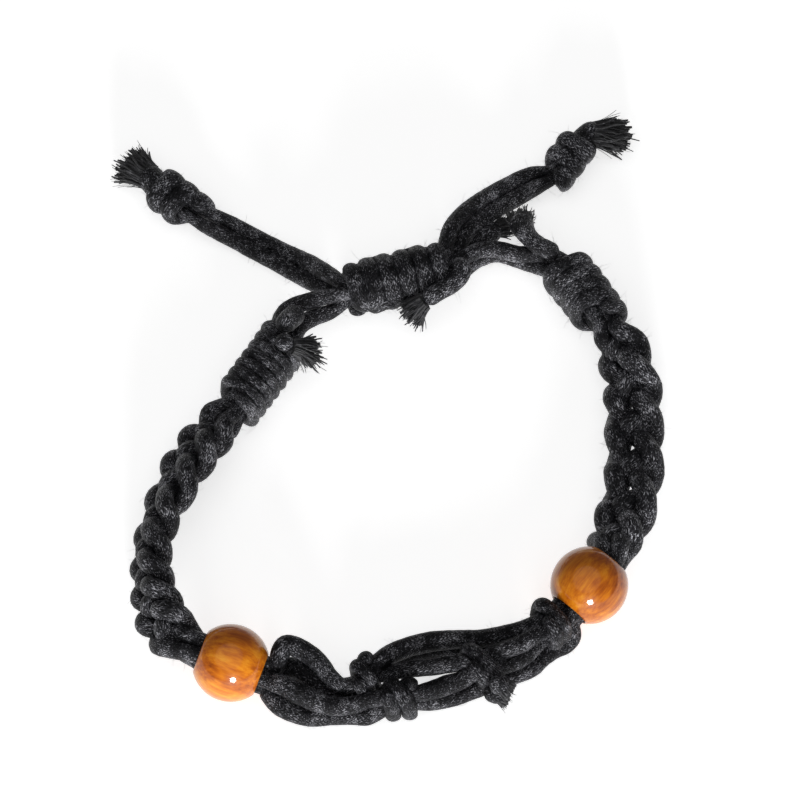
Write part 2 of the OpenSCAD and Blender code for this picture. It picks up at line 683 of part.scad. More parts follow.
module tassel(rows) {
    color(CORD_COLOUR)
    frayed(rows, TASSEL);
}

module placed() {
    translate(-MIDDLE)
        children();
}

placed() bead(LEFT_STRAP);  // left_bead
placed() bead(RIGHT_STRAP);  // right_bead
for (k = [0 : 3]) {
    placed() braid_cord(LEFT_STRAP, k);
    placed() braid_cord(RIGHT_STRAP, k);
}
for (k = [0 : len(NET_CORDS) - 1])
    placed() net_cord(NET_CORDS[k]);
for (k = [0 : len(NET_KNOTS) - 1])
    placed() net_knot(k);
placed() net_cut_ends();
placed() wrap(LEFT_WRAP, [wrapped_r, wrapped_r], LEFT_WINDING);  // left_wrapped_knot
placed() wrap(RIGHT_WRAP, [wrapped_r, wrapped_r], RIGHT_WINDING);  // right_wrapped_knot
placed() left_cut_ends();
placed() right_cut_ends();
placed() sliding_knot();
placed() sliding_knot_cut_ends();
placed() drawcord(LEFT_DRAWCORD_1_IN, UPPER_LEFT, LEFT_DRAWCORD_1_OUT);  // left_drawcord_1
placed() drawcord(LEFT_DRAWCORD_2_IN, LOWER_LEFT, LEFT_DRAWCORD_2_OUT);  // left_drawcord_2
placed() drawcord(RIGHT_DRAWCORD_1_IN, UPPER_RIGHT, RIGHT_DRAWCORD_1_OUT, true);  // right_drawcord_1
placed() drawcord(RIGHT_DRAWCORD_2_IN, LOWER_RIGHT, RIGHT_DRAWCORD_2_OUT, true);  // right_drawcord_2
placed() wrap(LEFT_END, end_coil(LEFT_REACH), END_WINDING);  // left_end_knot
placed() wrap(RIGHT_END, end_coil(RIGHT_REACH), END_WINDING);  // right_end_knot
placed() tassel(LEFT_TASSEL);  // left_tassel
placed() tassel(RIGHT_TASSEL);  // right_tassel
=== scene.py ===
# Looks of the cord bracelet: waxed cotton cords on the routes of the part's source, with
# their knots, frayed ends and fuzz, and two varnished wooden beads
import math

import bmesh
import bpy
import numpy as np
from mathutils import Matrix, Vector


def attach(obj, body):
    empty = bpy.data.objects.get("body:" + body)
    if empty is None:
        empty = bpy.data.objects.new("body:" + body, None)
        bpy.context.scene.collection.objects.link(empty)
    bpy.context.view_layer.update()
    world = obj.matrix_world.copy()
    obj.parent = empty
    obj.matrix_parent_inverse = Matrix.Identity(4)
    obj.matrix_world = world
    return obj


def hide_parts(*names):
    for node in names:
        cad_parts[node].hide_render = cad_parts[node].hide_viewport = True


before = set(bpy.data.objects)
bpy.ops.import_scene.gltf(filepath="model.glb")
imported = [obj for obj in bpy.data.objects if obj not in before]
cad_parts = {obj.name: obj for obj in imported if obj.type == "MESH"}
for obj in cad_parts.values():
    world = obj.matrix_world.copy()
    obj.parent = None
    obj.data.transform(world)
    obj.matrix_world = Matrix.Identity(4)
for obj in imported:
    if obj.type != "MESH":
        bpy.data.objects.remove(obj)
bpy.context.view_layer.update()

# The routes are in millimetres, as in the part's source, and Blender is in metres
MM = 0.001
# Middle of the bracelet without its loose drawcords, which lies at the origin
MIDDLE = np.array([0.05, -1.11, 0.0])
# Every run draws the same numbers
chance = np.random.default_rng(11)

# Camera: the picture is 800 by 800 pixels, at 7.8 pixels a millimetre
PICTURE = 800
PIXELS_PER_MM = 7.8
ELEVATION = math.radians(60)
CAMERA_DISTANCE = 4.0
SENSOR = 36.0
# It sees from its distance divided by this to its distance times this
CLIP_SPAN = 20
# Pixel of the picture where the routes' own origin lies
ORIGIN_PIXEL = (398, 468)


def added(name, data):
    """A new object in the scene."""
    piece = bpy.data.objects.new(name, data)
    bpy.context.scene.collection.objects.link(piece)
    return piece


def aimed(name, data, place, back):
    """A camera or lamp at a place, with its back to a direction."""
    piece = added(name, data)
    piece.location = place
    piece.rotation_mode = "QUATERNION"
    piece.rotation_quaternion = Vector(back).to_track_quat("Z", "Y")
    return piece


def make_camera():
    """A long lens that looks down on the bracelet at the photo's angle."""
    across = (PICTURE / 2 - ORIGIN_PIXEL[0]) / PIXELS_PER_MM
    away = (ORIGIN_PIXEL[1] - PICTURE / 2) / PIXELS_PER_MM / math.sin(ELEVATION)
    target = Vector((np.array([across, away, 0.0]) - MIDDLE) * MM)
    back = Vector((0, -math.cos(ELEVATION), math.sin(ELEVATION)))
    data = bpy.data.cameras.new("photo_camera")
    data.sensor_width = SENSOR
    data.lens = SENSOR * CAMERA_DISTANCE / (PICTURE / PIXELS_PER_MM * MM)
    data.clip_start = CAMERA_DISTANCE / CLIP_SPAN
    data.clip_end = CAMERA_DISTANCE * CLIP_SPAN
    place = target + back * CAMERA_DISTANCE
    bpy.context.scene.camera = aimed("photo_camera", data, place, back)


make_camera()

# Columns of the tables after x, y and z: share of thickness and, on a strap, its roll in
# degrees, how far its cords are spread into the braid, and how many lobes have passed
THICK = 3
ROLL = 4
SPREAD = 5
LOBES = 6

# Middle line of the left strap, from the net side of its bead to its wrapped knot
LEFT_STRAP = [
    [-17.0, -32.9, 4.2, 1, 0, 0, -0.5],
    [-21.3, -31.5, 5.0, 1, 0, 0, -0.5],
    [-25.2, -30.2, 5.7, 1, -8, 0, -0.5],
    [-27.3, -29.0, 5.4, 1, -24, 0.15, -0.4],
    [-29.4, -26.2, 4.8, 1, -46, 1, 0.05],
    [-30.7, -23.0, 4.7, 1, -64, 1, 0.95],
    [-31.4, -19.1, 4.6, 1, -74, 1, 1.95],
    [-31.4, -14.9, 4.5, 1, -76, 1, 2.95],
    [-30.7, -11.2, 4.3, 1, -71, 1, 3.75],
    [-29.4, -7.5, 4.2, 1, -61, 1, 4.5],
    [-28.0, -4.1, 4.0, 1, -52, 1, 5.15],
    [-26.4, -0.8, 3.8, 1, -45, 1, 5.9],
    [-24.5, 2.3, 3.4, 1, -42, 1, 6.75],
    [-22.7, 4.8, 3.3, 0.9, -16, 0.6, 7.5],
    [-20.9, 7.0, 3.3, 0.8, 0, 0, 7.5],
    [-19.0, 9.8, 3.3, 0.8, 0, 0, 7.5],
]

# Middle line of the right strap, from the net side of its bead to its wrapped knot
RIGHT_STRAP = [
    [21.5, -23.5, 3.8, 1, 0, 0, -0.5],
    [24.4, -20.1, 5.0, 1, 0, 0, -0.5],
    [26.8, -17.3, 6.0, 1, 0, 0, -0.5],
    [27.5, -15.2, 5.8, 1, -12, 0.4, -0.5],
    [27.8, -13.1, 4.8, 1, -26, 1, 0.05],
    [29.0, -9.4, 3.9, 1, -16, 1, 0.8],
    [29.8, -5.6, 3.5, 1, -8, 1, 1.4],
    [30.2, -1.8, 3.1, 1, -8, 1, 2.0],
    [30.2, 2.0, 2.8, 1, -8, 1, 2.6],
    [30.2, 5.6, 2.7, 1, -8, 1, 3.2],
    [30.1, 9.2, 3.0, 1, -22, 1, 3.8],
    [29.6, 12.6, 3.4, 1, -42, 1, 4.4],
    [28.7, 15.3, 3.5, 1, -52, 1, 4.9],
    [27.6, 17.7, 3.4, 0.9, -24, 0.35, 5.5],
    [26.4, 19.8, 3.4, 0.8, 0, 0, 5.5],
    [24.6, 22.6, 3.4, 0.8, 0, 0, 5.5],
]

# Cords of the net, from the left bead to the right bead
NET_CORD_1 = [
    [-15.9, -32.2, 5.1, 1], [-15.3, -31.9, 5.6, 1], [-15.0, -30.9, 6.4, 1.1],
    [-14.3, -29.9, 6.8, 1.1], [-13.0, -30.1, 6.7, 1.1], [-11.7, -30.7, 6.3, 1.1],
    [-10.5, -31.4, 5.7, 1.1], [-9.5, -32.3, 5.0, 1.05], [-8.6, -33.3, 4.3, 1],
    [-7.2, -34.1, 3.6, 0.95], [-5.2, -33.8, 4.1, 0.85], [-3.6, -32.3, 4.5, 0.85],
    [-2.4, -31.0, 4.4, 1], [-0.8, -29.7, 4.2, 1.1], [1.3, -28.6, 4.0, 1.1],
    [4.4, -27.8, 4.0, 1.1], [7.4, -27.5, 4.0, 1.05], [10.5, -27.4, 4.0, 1],
    [13.6, -26.9, 4.3, 1], [16.0, -26.4, 4.8, 0.95], [18.2, -25.4, 5.3, 0.85],
    [19.6, -24.2, 5.1, 0.85], [20.2, -23.5, 4.6, 1],
]
NET_CORD_2 = [
    [-16.3, -32.1, 3.1, 1], [-15.1, -32.1, 3.4, 1.05], [-13.4, -31.5, 3.9, 1.15],
    [-11.7, -32.4, 3.6, 1.2], [-9.9, -33.7, 2.5, 1.15], [-8.0, -34.8, 1.5, 1],
    [-6.6, -34.7, 1.5, 0.95], [-5.2, -33.8, 2.3, 0.85], [-3.6, -32.3, 2.7, 0.85],
    [-2.2, -32.0, 2.8, 0.85], [-0.4, -32.1, 3.7, 0.85], [1.8, -32.1, 4.5, 0.92],
    [4.1, -32.0, 4.7, 0.92], [7.0, -31.5, 4.7, 0.9], [9.2, -31.0, 4.5, 0.85],
    [11.2, -30.4, 4.6, 0.85], [12.6, -30.1, 5.1, 0.95], [14.0, -29.8, 5.6, 1],
    [15.6, -29.1, 5.6, 1], [17.3, -27.9, 5.5, 0.95],
    [19.3, -26.5, 5.2, 0.85], [20.8, -25.4, 5.0, 0.85], [21.7, -24.8, 4.6, 1],
]
NET_CORD_3 = [
    [-16.5, -34.1, 5.1, 1], [-15.6, -34.5, 5.2, 1.05], [-14.5, -35.0, 5.3, 1.1],
    [-12.8, -35.8, 5.0, 1.15], [-10.6, -36.5, 4.1, 1.15], [-7.8, -36.9, 3.3, 1.05],
    [-5.4, -36.7, 3.5, 0.95], [-3.8, -36.4, 4.0, 0.9], [-1.0, -35.9, 4.1, 0.85],
    [1.6, -35.5, 4.1, 0.85], [3.6, -35.1, 3.9, 1], [6.0, -34.1, 3.7, 1.1],
    [8.0, -33.4, 3.8, 1], [9.7, -32.7, 4.3, 0.85], [11.7, -32.1, 4.4, 0.85],
    [13.8, -31.1, 3.7, 0.95], [16.0, -29.8, 3.6, 1], [17.7, -28.1, 3.7, 0.9],
    [19.3, -26.5, 3.5, 0.85], [20.4, -25.2, 3.2, 0.85], [20.3, -24.2, 2.9, 0.85],
    [20.5, -23.1, 2.7, 1],
]
NET_CORD_4 = [
    [-16.9, -34.0, 3.1, 1], [-16.2, -34.9, 2.6, 1.1], [-15.0, -36.1, 2.1, 1.15],
    [-13.2, -37.0, 1.8, 1.1], [-11.0, -37.2, 1.2, 1.1], [-7.8, -37.0, 1.1, 1.05],
    [-5.4, -37.1, 1.2, 1], [-3.9, -37.3, 1.4, 1], [-2.5, -36.8, 1.9, 0.95],
    [-1.0, -36.1, 2.3, 0.85], [1.6, -35.7, 2.3, 0.85],
    [4.2, -35.2, 1.4, 0.95], [7.4, -34.2, 1.1, 1], [10.5, -32.9, 1.1, 1],
    [13.0, -31.8, 1.1, 1], [15.1, -31.0, 1.1, 1], [17.0, -30.0, 1.0, 1],
    [18.4, -28.5, 0.95, 1], [19.9, -27.3, 0.95, 1], [21.3, -26.6, 1.0, 1],
    [22.2, -25.7, 1.6, 1], [22.1, -24.4, 2.7, 1],
]
NET_CORD_5 = [
    [-2.6, -30.5, 2.3, 0.9], [-1.0, -29.4, 2.0, 1], [1.3, -28.3, 1.7, 1.05],
    [4.4, -27.7, 1.7, 1.05], [7.4, -27.6, 1.7, 1], [10.5, -27.7, 1.8, 1],
    [13.6, -27.3, 2.2, 1], [16.0, -26.4, 2.9, 0.95], [18.2, -25.4, 3.5, 0.85],
    [18.9, -24.7, 3.6, 0.85],
]
NET_CORDS = [NET_CORD_1, NET_CORD_2, NET_CORD_3, NET_CORD_4, NET_CORD_5]

# Two trimmed ends that stand out of the net's third knot
NET_END_1 = [[11.7, -34.6, 6.0, 1], [12.9, -35.1, 5.7, 1.1], [14.1, -35.6, 5.3, 1.2]]
NET_END_2 = [[11.0, -34.8, 3.8, 1], [12.3, -35.1, 3.4, 1.05], [13.7, -35.4, 3.0, 1.1]]

# Wrapped knots of the net: middle line of each
NET_KNOTS = [
    [[-5.2, -33.7, 3.1], [-3.2, -31.8, 3.6]],
    [[-2.0, -36.0, 3.2], [2.2, -35.6, 3.2]],
    [[9.3, -31.9, 4.4], [11.5, -31.2, 4.5]],
    [[18.6, -26.0, 4.4], [20.0, -24.6, 4.3]],
]
# For each: cords side by side in it, across and upwards, its turns, and how far it slants
NET_HOLDS = [[1, 2, 2, 0.4], [1, 2, 2, -0.7], [2, 1, 1.5, -0.9], [2, 2, 1.5, 0.3]]

# Wrapped knots beside the drawcords: middle line of each
LEFT_WRAP = [[-20.7, 7.3, 3.3], [-17.4, 12.3, 3.3], [-14.7, 16.6, 3.4]]
RIGHT_WRAP = [[26.1, 20.2, 3.4], [24.4, 23.1, 3.4], [22.4, 26.0, 3.4], [21.2, 27.5, 3.4]]

# Middle line of the sliding knot
SLIDING = [[-6.6, 23.9, 3.9], [6.2, 27.5, 3.9]]

# Drawcords on their way from a wrapped knot to the sliding knot
LEFT_DRAWCORD_1_IN = [
    [-18.4, 12.1, 3.4, 0.85], [-17.0, 14.2, 3.5, 0.85], [-15.5, 16.5, 3.6, 0.85],
    [-15.3, 18.8, 4.1, 1], [-14.1, 21.0, 4.3, 1], [-11.6, 22.1, 4.4, 1],
    [-8.7, 22.8, 4.6, 0.9],
]
LEFT_DRAWCORD_2_IN = [
    [-17.0, 11.1, 3.2, 0.85], [-15.6, 13.3, 3.2, 0.85], [-14.2, 15.4, 3.2, 0.88],
    [-13.4, 17.5, 2.9, 1], [-12.6, 19.4, 2.7, 1], [-10.9, 20.7, 2.7, 1],
    [-8.7, 21.5, 2.8, 0.9],
]
RIGHT_DRAWCORD_1_IN = [
    [23.0, 23.7, 3.4, 0.85], [21.7, 25.5, 3.4, 0.85], [20.4, 27.0, 3.2, 0.9],
    [18.2, 28.5, 2.3, 1], [15.5, 30.0, 1.5, 1], [12.8, 30.9, 1.5, 1],
    [10.6, 29.9, 2.1, 1], [9.2, 28.5, 2.7, 0.95], [8.2, 27.3, 3.0, 0.85],
]
RIGHT_DRAWCORD_2_IN = [
    [24.4, 24.6, 3.4, 0.85], [23.1, 26.5, 3.4, 0.85], [21.7, 28.2, 3.6, 0.9],
    [19.0, 29.4, 3.8, 1], [15.6, 29.7, 3.4, 1], [12.8, 30.4, 3.4, 1],
    [10.4, 29.9, 4.1, 0.95], [8.4, 28.4, 4.7, 0.85],
]
# Drawcords on their way from the sliding knot to an end knot
LEFT_DRAWCORD_1_OUT = [
    [7.4, 30.4, 3.3, 0.95], [8.5, 32.5, 3.2, 1], [10.2, 35.0, 2.5, 1],
    [12.8, 37.4, 1.8, 1], [15.4, 39.2, 1.6, 1], [18.2, 40.7, 2.1, 0.88],
    [20.7, 41.9, 2.5, 0.56], [22.3, 44.2, 2.6, 0.56], [23.5, 46.0, 2.6, 0.56],
]
LEFT_DRAWCORD_2_OUT = [
    [6.2, 30.3, 5.0, 0.95], [6.8, 32.6, 4.9, 1], [8.2, 35.2, 4.0, 1],
    [10.4, 37.8, 2.9, 1], [13.5, 40.4, 2.0, 1], [16.8, 42.3, 2.1, 0.88],
    [19.7, 42.9, 2.5, 0.56], [21.3, 44.8, 2.6, 0.56], [22.5, 46.6, 2.6, 0.56],
]
RIGHT_DRAWCORD_1_OUT = [
    [-8.5, 26.0, 4.2, 0.95], [-11.2, 28.8, 2.6, 1], [-14.4, 31.2, 1.3, 1],
    [-17.8, 33.4, 1.0, 1], [-21.0, 35.3, 1.2, 1], [-23.9, 36.4, 2.1, 0.88],
    [-26.2, 37.3, 2.5, 0.66], [-29.0, 39.7, 2.6, 0.66],
]
RIGHT_DRAWCORD_2_OUT = [
    [-8.8, 25.1, 2.2, 0.95], [-12.2, 27.5, 1.2, 1], [-15.4, 29.7, 1.0, 1],
    [-18.8, 31.7, 1.0, 1], [-21.9, 33.5, 1.2, 1], [-24.9, 34.7, 2.1, 0.88],
    [-27.2, 36.1, 2.5, 0.66], [-30.0, 38.5, 2.6, 0.66],
]

# End knots: middle line of each
LEFT_END = [[-26.3, 36.3, 2.5], [-30.9, 40.4, 2.6]]
RIGHT_END = [[20.2, 42.1, 2.5], [23.4, 46.9, 2.6]]

# Cut cord ends beside the knots
LEFT_STUB_1 = [[-15.6, 14.7, 7.5, 1], [-14.6, 14.3, 7.5, 1], [-13.5, 14.0, 7.1, 1]]
LEFT_STUB_2 = [
    [-15.0, 16.2, 7.8, 1], [-14.4, 17.3, 7.3, 1.1], [-13.5, 18.8, 6.2, 1.2],
    [-12.7, 20.2, 5.4, 1.1],
]
RIGHT_STUB = [
    [20.6, 28.4, 5.6, 1], [19.0, 29.1, 5.9, 1], [17.9, 29.7, 5.9, 1], [16.9, 30.8, 5.7, 1],
    [16.2, 32.3, 5.1, 1.2], [15.8, 33.9, 4.3, 1.4], [15.7, 34.8, 3.9, 1.45],
]
SLIDING_STUB_1 = [
    [7.6, 27.2, 6.6, 1], [8.2, 25.4, 6.4, 1], [7.2, 23.9, 6.2, 1], [5.3, 22.8, 5.8, 1],
    [3.3, 21.7, 5.3, 1.05],
]
SLIDING_STUB_2 = [
    [7.4, 30.4, 0.95, 1], [8.5, 31.7, 0.95, 1], [9.9, 33.0, 1.1, 1.1], [11.6, 34.1, 1.2, 1.2],
    [13.2, 35.0, 1.2, 1.2],
]

# Frayed ends: root, waist and tip of each
LEFT_TUFT = [[-13.5, 14.0, 7.0], [-13.0, 13.9, 6.7], [-10.6, 14.1, 5.1]]
SLIDING_TUFT = [[3.3, 21.7, 5.2], [2.9, 21.5, 5.0], [1.3, 20.5, 3.8]]
LEFT_TASSEL = [[-31.9, 41.6, 2.5], [-32.3, 42.1, 2.4], [-34.8, 44.1, 2.0]]
RIGHT_TASSEL = [[24.5, 48.2, 2.5], [25.2, 48.5, 2.4], [29.4, 48.2, 2.0]]

# Sizes that the part's source names too
CORD_R = 0.95
BRAIDED_W = 1.9
BRAIDED_T = 1.65
BRAID_W = 7.9
BRAID_H = 4.2
BEAD_D = 10.0
BEAD_HOLE_D = 5.2
WRAPPED_D = 6.5
SLIDING_D = 7.1
HALF_KNOTS = 6
GAP = 0.1
FLAT = 0.65
BUNDLE = CORD_R + GAP / 2
# Rings of a cord: sides, and distance from ring to ring on a cord, a strap and a wrap
SIDES = 20
STEP = 0.25
STRAP_STEP = 0.35
WRAP_STEP = 0.2
# Vertices closer than this are one
MERGED = 1e-4 * MM
# Woven cord is soft, so each cord bulges by these shares beyond the firm core of the source
BULGE = 1.25
LEFT_BRAID_BULGE = 1.32
RIGHT_BRAID_BULGE = 1.4
LOBE_OUT = 0.3
# Bulge of the drawcords by their place from left to right: they are looser, and so thicker,
# on both sides of the sliding knot
DRAW_PLACES = (-20, -15, -8, -5, 8)
DRAW_BULGES = (1.06, 1.18, 1.18, 1.06, 1.18)
# Share of its bulge that a braid's cord keeps where the four lie in a bundle
BUNDLED = 0.5

# A line that rises more than this is too steep to take its side from the upright
STEEP = 0.8


def unit(v):
    """Vectors of length one."""
    return v / np.linalg.norm(v, axis=-1, keepdims=True)


def smooth(rows, step=STEP):
    """A smooth curve through the rows of a table, each column alike."""
    rows = np.array(rows, dtype=float)
    padded = np.vstack([2 * rows[0] - rows[1], rows, 2 * rows[-1] - rows[-2]])
    made = []
    for i in range(len(rows) - 1):
        before, a, b, after = padded[i:i + 4]
        parts = max(1, round(float(np.linalg.norm((b - a)[:3])) / step))
        t = (np.arange(parts) / parts)[:, None]
        made.append(
            0.5 * (2 * a + (b - before) * t
                   + (2 * before - 5 * a + 4 * b - after) * t ** 2
                   + (3 * a - before - 3 * b + after) * t ** 3)
        )
    return np.vstack(made + [rows[-1:]])


def distances(rows):
    """Distance from the start to each row."""
    steps = np.linalg.norm(np.diff(rows[:, :3], axis=0), axis=1)
    return np.concatenate([[0.0], np.cumsum(steps)])


def rows_at(rows, runs, wanted):
    """The rows at some distances along a smooth line."""
    return np.column_stack([np.interp(wanted, runs, column) for column in rows.T])


def headings(line):
    """Unit direction of a line at each of its places."""
    return unit(np.vstack([line[1] - line[0], line[2:] - line[:-2], line[-1] - line[-2]]))


def squared(side, heading):
    """The part of a side direction that is square to a heading."""
    return unit(side - heading * np.sum(side * heading, axis=-1, keepdims=True))


def any_side(heading):
    """A direction square to a heading."""
    steep = abs(heading[2]) > STEEP
    return squared(np.array([1.0, 0, 0] if steep else [0, 0, 1.0]), heading)


def carried(heads):
    """A side direction carried along a line without twisting."""
    sides = [any_side(heads[0])]
    for heading in heads[1:]:
        sides.append(squared(sides[-1], heading))
    return np.array(sides)


# Surface points and their outward directions, kept by region for the fuzz
surfaces = {}

# Uneven swellings of a cord: length in millimetres and weight of each kind, how many times
# each goes round the cord, how far its length varies, and how strong they all are
SWELLINGS = ((6.0, 0.4), (2.6, 0.35), (1.4, 0.25))
TIMES_ROUND = (0, 1, 2)
VARIED = (0.8, 1.25)
CORD_LUMPS = 0.035
WRAP_LUMPS = 0.05
WORKING_LUMPS = 0.06
# Least share of its thickness at the tip of a rounded end
TIP = 0.06
# The weave of each cord starts somewhere in this many millimetres
WEAVE_START = 40


def lumps(turns, run, size):
    """Soft uneven swellings along a cord and round it, as a share of its thickness."""
    wave = np.zeros(np.broadcast_shapes(turns.shape, run.shape))
    for length, weight in SWELLINGS:
        for around in TIMES_ROUND:
            shift = chance.uniform(0, 2 * math.pi)
            stretch = chance.uniform(*VARIED)
            wave += weight * np.sin(
                2 * math.pi * (run / (length * stretch) + around * turns) + shift
            ) / 2
    return size * wave


def tube(shell, line, aside, half_w, half_t, region, lump=CORD_LUMPS, round_start=False,
         round_end=False):
    """Adds one cord to a mesh: a grid rolled up round a line, with closed ends. Its UV map
    has the share of a turn across and the distance in millimetres along."""
    rings = len(line)
    heads = headings(line)
    over = np.cross(heads, aside)
    run = distances(line)
    slim = np.ones(rings)
    if round_start:
        slim *= np.sqrt(1 - (1 - np.clip(run / half_t[0], TIP, 1)) ** 2)
    if round_end:
        slim *= np.sqrt(1 - (1 - np.clip((run[-1] - run) / half_t[-1], TIP, 1)) ** 2)
    turns = np.arange(SIDES + 1) / SIDES
    angle = 2 * math.pi * turns
    swell = 1 + lumps(turns[None, :], run[:, None], lump)
    swell[:, -1] = swell[:, 0]
    reach = (slim[:, None] * swell)[:, :, None]
    out = (
        aside[:, None] * (half_w[:, None] * np.cos(angle))[:, :, None]
        + over[:, None] * (half_t[:, None] * np.sin(angle))[:, :, None]
    )
    points = line[:, None] + out * reach
    points[:, -1] = points[:, 0]
    surfaces.setdefault(region, []).append(
        (points[:, :-1].reshape(-1, 3), unit(out[:, :-1].reshape(-1, 3)))
    )
    layer = shell.loops.layers.uv.verify()
    made = bmesh.ops.create_grid(shell, x_segments=SIDES, y_segments=rings - 1, size=1)["verts"]
    spot = {}
    along = run + chance.uniform(0, WEAVE_START)
    for i in range(rings):
        for k in range(SIDES + 1):
            vert = made[i * (SIDES + 1) + k]
            vert.co = (points[i, k] - MIDDLE) * MM
            spot[vert] = (turns[k], along[i])
    for face in {face for vert in made for face in vert.link_faces}:
        face.smooth = True
        for loop in face.loops:
            loop[layer].uv = spot[loop.vert]
    seam = [made[i * (SIDES + 1) + k] for i in range(rings) for k in (0, SIDES)]
    bmesh.ops.remove_doubles(shell, verts=seam, dist=MERGED)
    rims = [edge for edge in shell.edges if edge.is_boundary]
    bmesh.ops.holes_fill(shell, edges=rims, sides=0)


def meshed(name, shell, material):
    """An object of the scene with a finished mesh."""
    mesh = bpy.data.meshes.new(name)
    shell.to_mesh(mesh)
    shell.free()
    mesh.materials.append(material)
    return added(name, mesh)


def finish_piece(name, shell, material, stands_for=()):
    """Makes an object of a mesh, which rides on the bracelet."""
    bmesh.ops.recalc_face_normals(shell, faces=shell.faces)
    piece = meshed(name, shell, material)
    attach(piece, "root")
    if stands_for:
        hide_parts(*stands_for)
    return piece


def feed(tree, socket, value):
    """Links a node's output to a socket, or sets the socket's own value."""
    if isinstance(value, bpy.types.NodeSocket):
        tree.links.new(value, socket)
    else:
        socket.default_value = value


def result_of(tree, operation, *values):
    """A Math node's result."""
    node = tree.nodes.new("ShaderNodeMath")
    node.operation = operation
    for socket, value in zip(node.inputs, values):
        feed(tree, socket, value)
    return node.outputs[0]


def weighed(tree, *parts):
    """Sum of some values, each times its weight."""
    total = None
    for value, weight in reversed(parts):
        part = result_of(tree, "MULTIPLY", value, weight)
        total = part if total is None else result_of(tree, "ADD", part, total)
    return total


def blended(tree, share, low, high):
    """A number between two others."""
    node = tree.nodes.new("ShaderNodeMapRange")
    for name, value in (("Value", share), ("To Min", low), ("To Max", high)):
        feed(tree, node.inputs[name], value)
    return node.outputs[0]


def speckle(tree, vector, noise):
    """Noise on some coordinates: its scale, detail and roughness."""
    node = tree.nodes.new("ShaderNodeTexNoise")
    feed(tree, node.inputs["Vector"], vector)
    for name, value in zip(("Scale", "Detail", "Roughness"), noise):
        node.inputs[name].default_value = value
    return node.outputs["Fac"]


def ramp(tree, share, stops, shade=1.0):
    """Colours by share, from a short list of stops, all darkened by a shade."""
    node = tree.nodes.new("ShaderNodeValToRGB")
    feed(tree, node.inputs["Fac"], share)
    marks = node.color_ramp.elements
    while len(marks) < len(stops):
        marks.new(1.0)
    for mark, (position, colour) in zip(marks, stops):
        mark.position = position
        mark.color = (*(shade * part for part in colour), 1)
    return node.outputs["Color"]


def bumped(tree, height, depth, strength=1.0):
    """A surface raised by a height between 0 and 1 times a depth in metres."""
    node = tree.nodes.new("ShaderNodeBump")
    node.inputs["Strength"].default_value = strength
    node.inputs["Distance"].default_value = depth
    feed(tree, node.inputs["Height"], height)
    return node.outputs["Normal"]


def new_finish(name, **sockets):
    """An empty material with its shader, and some of the shader's sockets set."""
    material = bpy.data.materials.new(name)
    material.use_nodes = True
    tree = material.node_tree
    shader = next(node for node in tree.nodes if node.type == "BSDF_PRINCIPLED")
    for socket, value in sockets.items():
        shader.inputs[socket.replace("_", " ")].default_value = value
    return material, tree, shader


# Strands each way round a cord, and the length in millimetres that each leads in a cord
STRANDS = 22
STRAND_LEAD = 0.55
# They cross two over two: the pattern repeats after four, and two of the four lie over. They
# sway by this share of a strand
REPEAT = 4.0
OVER = 1.5
SWAY = 0.8
# Fibres in a strand: how drawn out they are, and how far apart the two sets of strands are
FIBRE_STRETCH = 0.8
SETS_APART = 7.3
# Noises of the cord: scale, detail and roughness of each
SWAY_NOISE = (1100.0, 2.0, 0.55)
FIBRE_NOISE = (1.7, 2.0, 0.7)
PATCH_NOISE = (520.0, 3.0, 0.6)
WAX_NOISE = (5000.0, 2.0, 0.6)
# Depth, gloss and roughness of its surface
WEAVE_DEPTH = 0.13 * MM
COTTON_GLOSS = 0.2
COTTON_ROUGHNESS = (0.25, 0.6)
# Colours of the cord, from the painted shade of its hollows to the painted glints of single
# fibres
COTTON_TONES = (
    (0.0, (0.003, 0.003, 0.0038)), (0.66, (0.007, 0.007, 0.0085)),
    (0.75, (0.045, 0.045, 0.052)), (0.86, (0.5, 0.5, 0.54)),
)


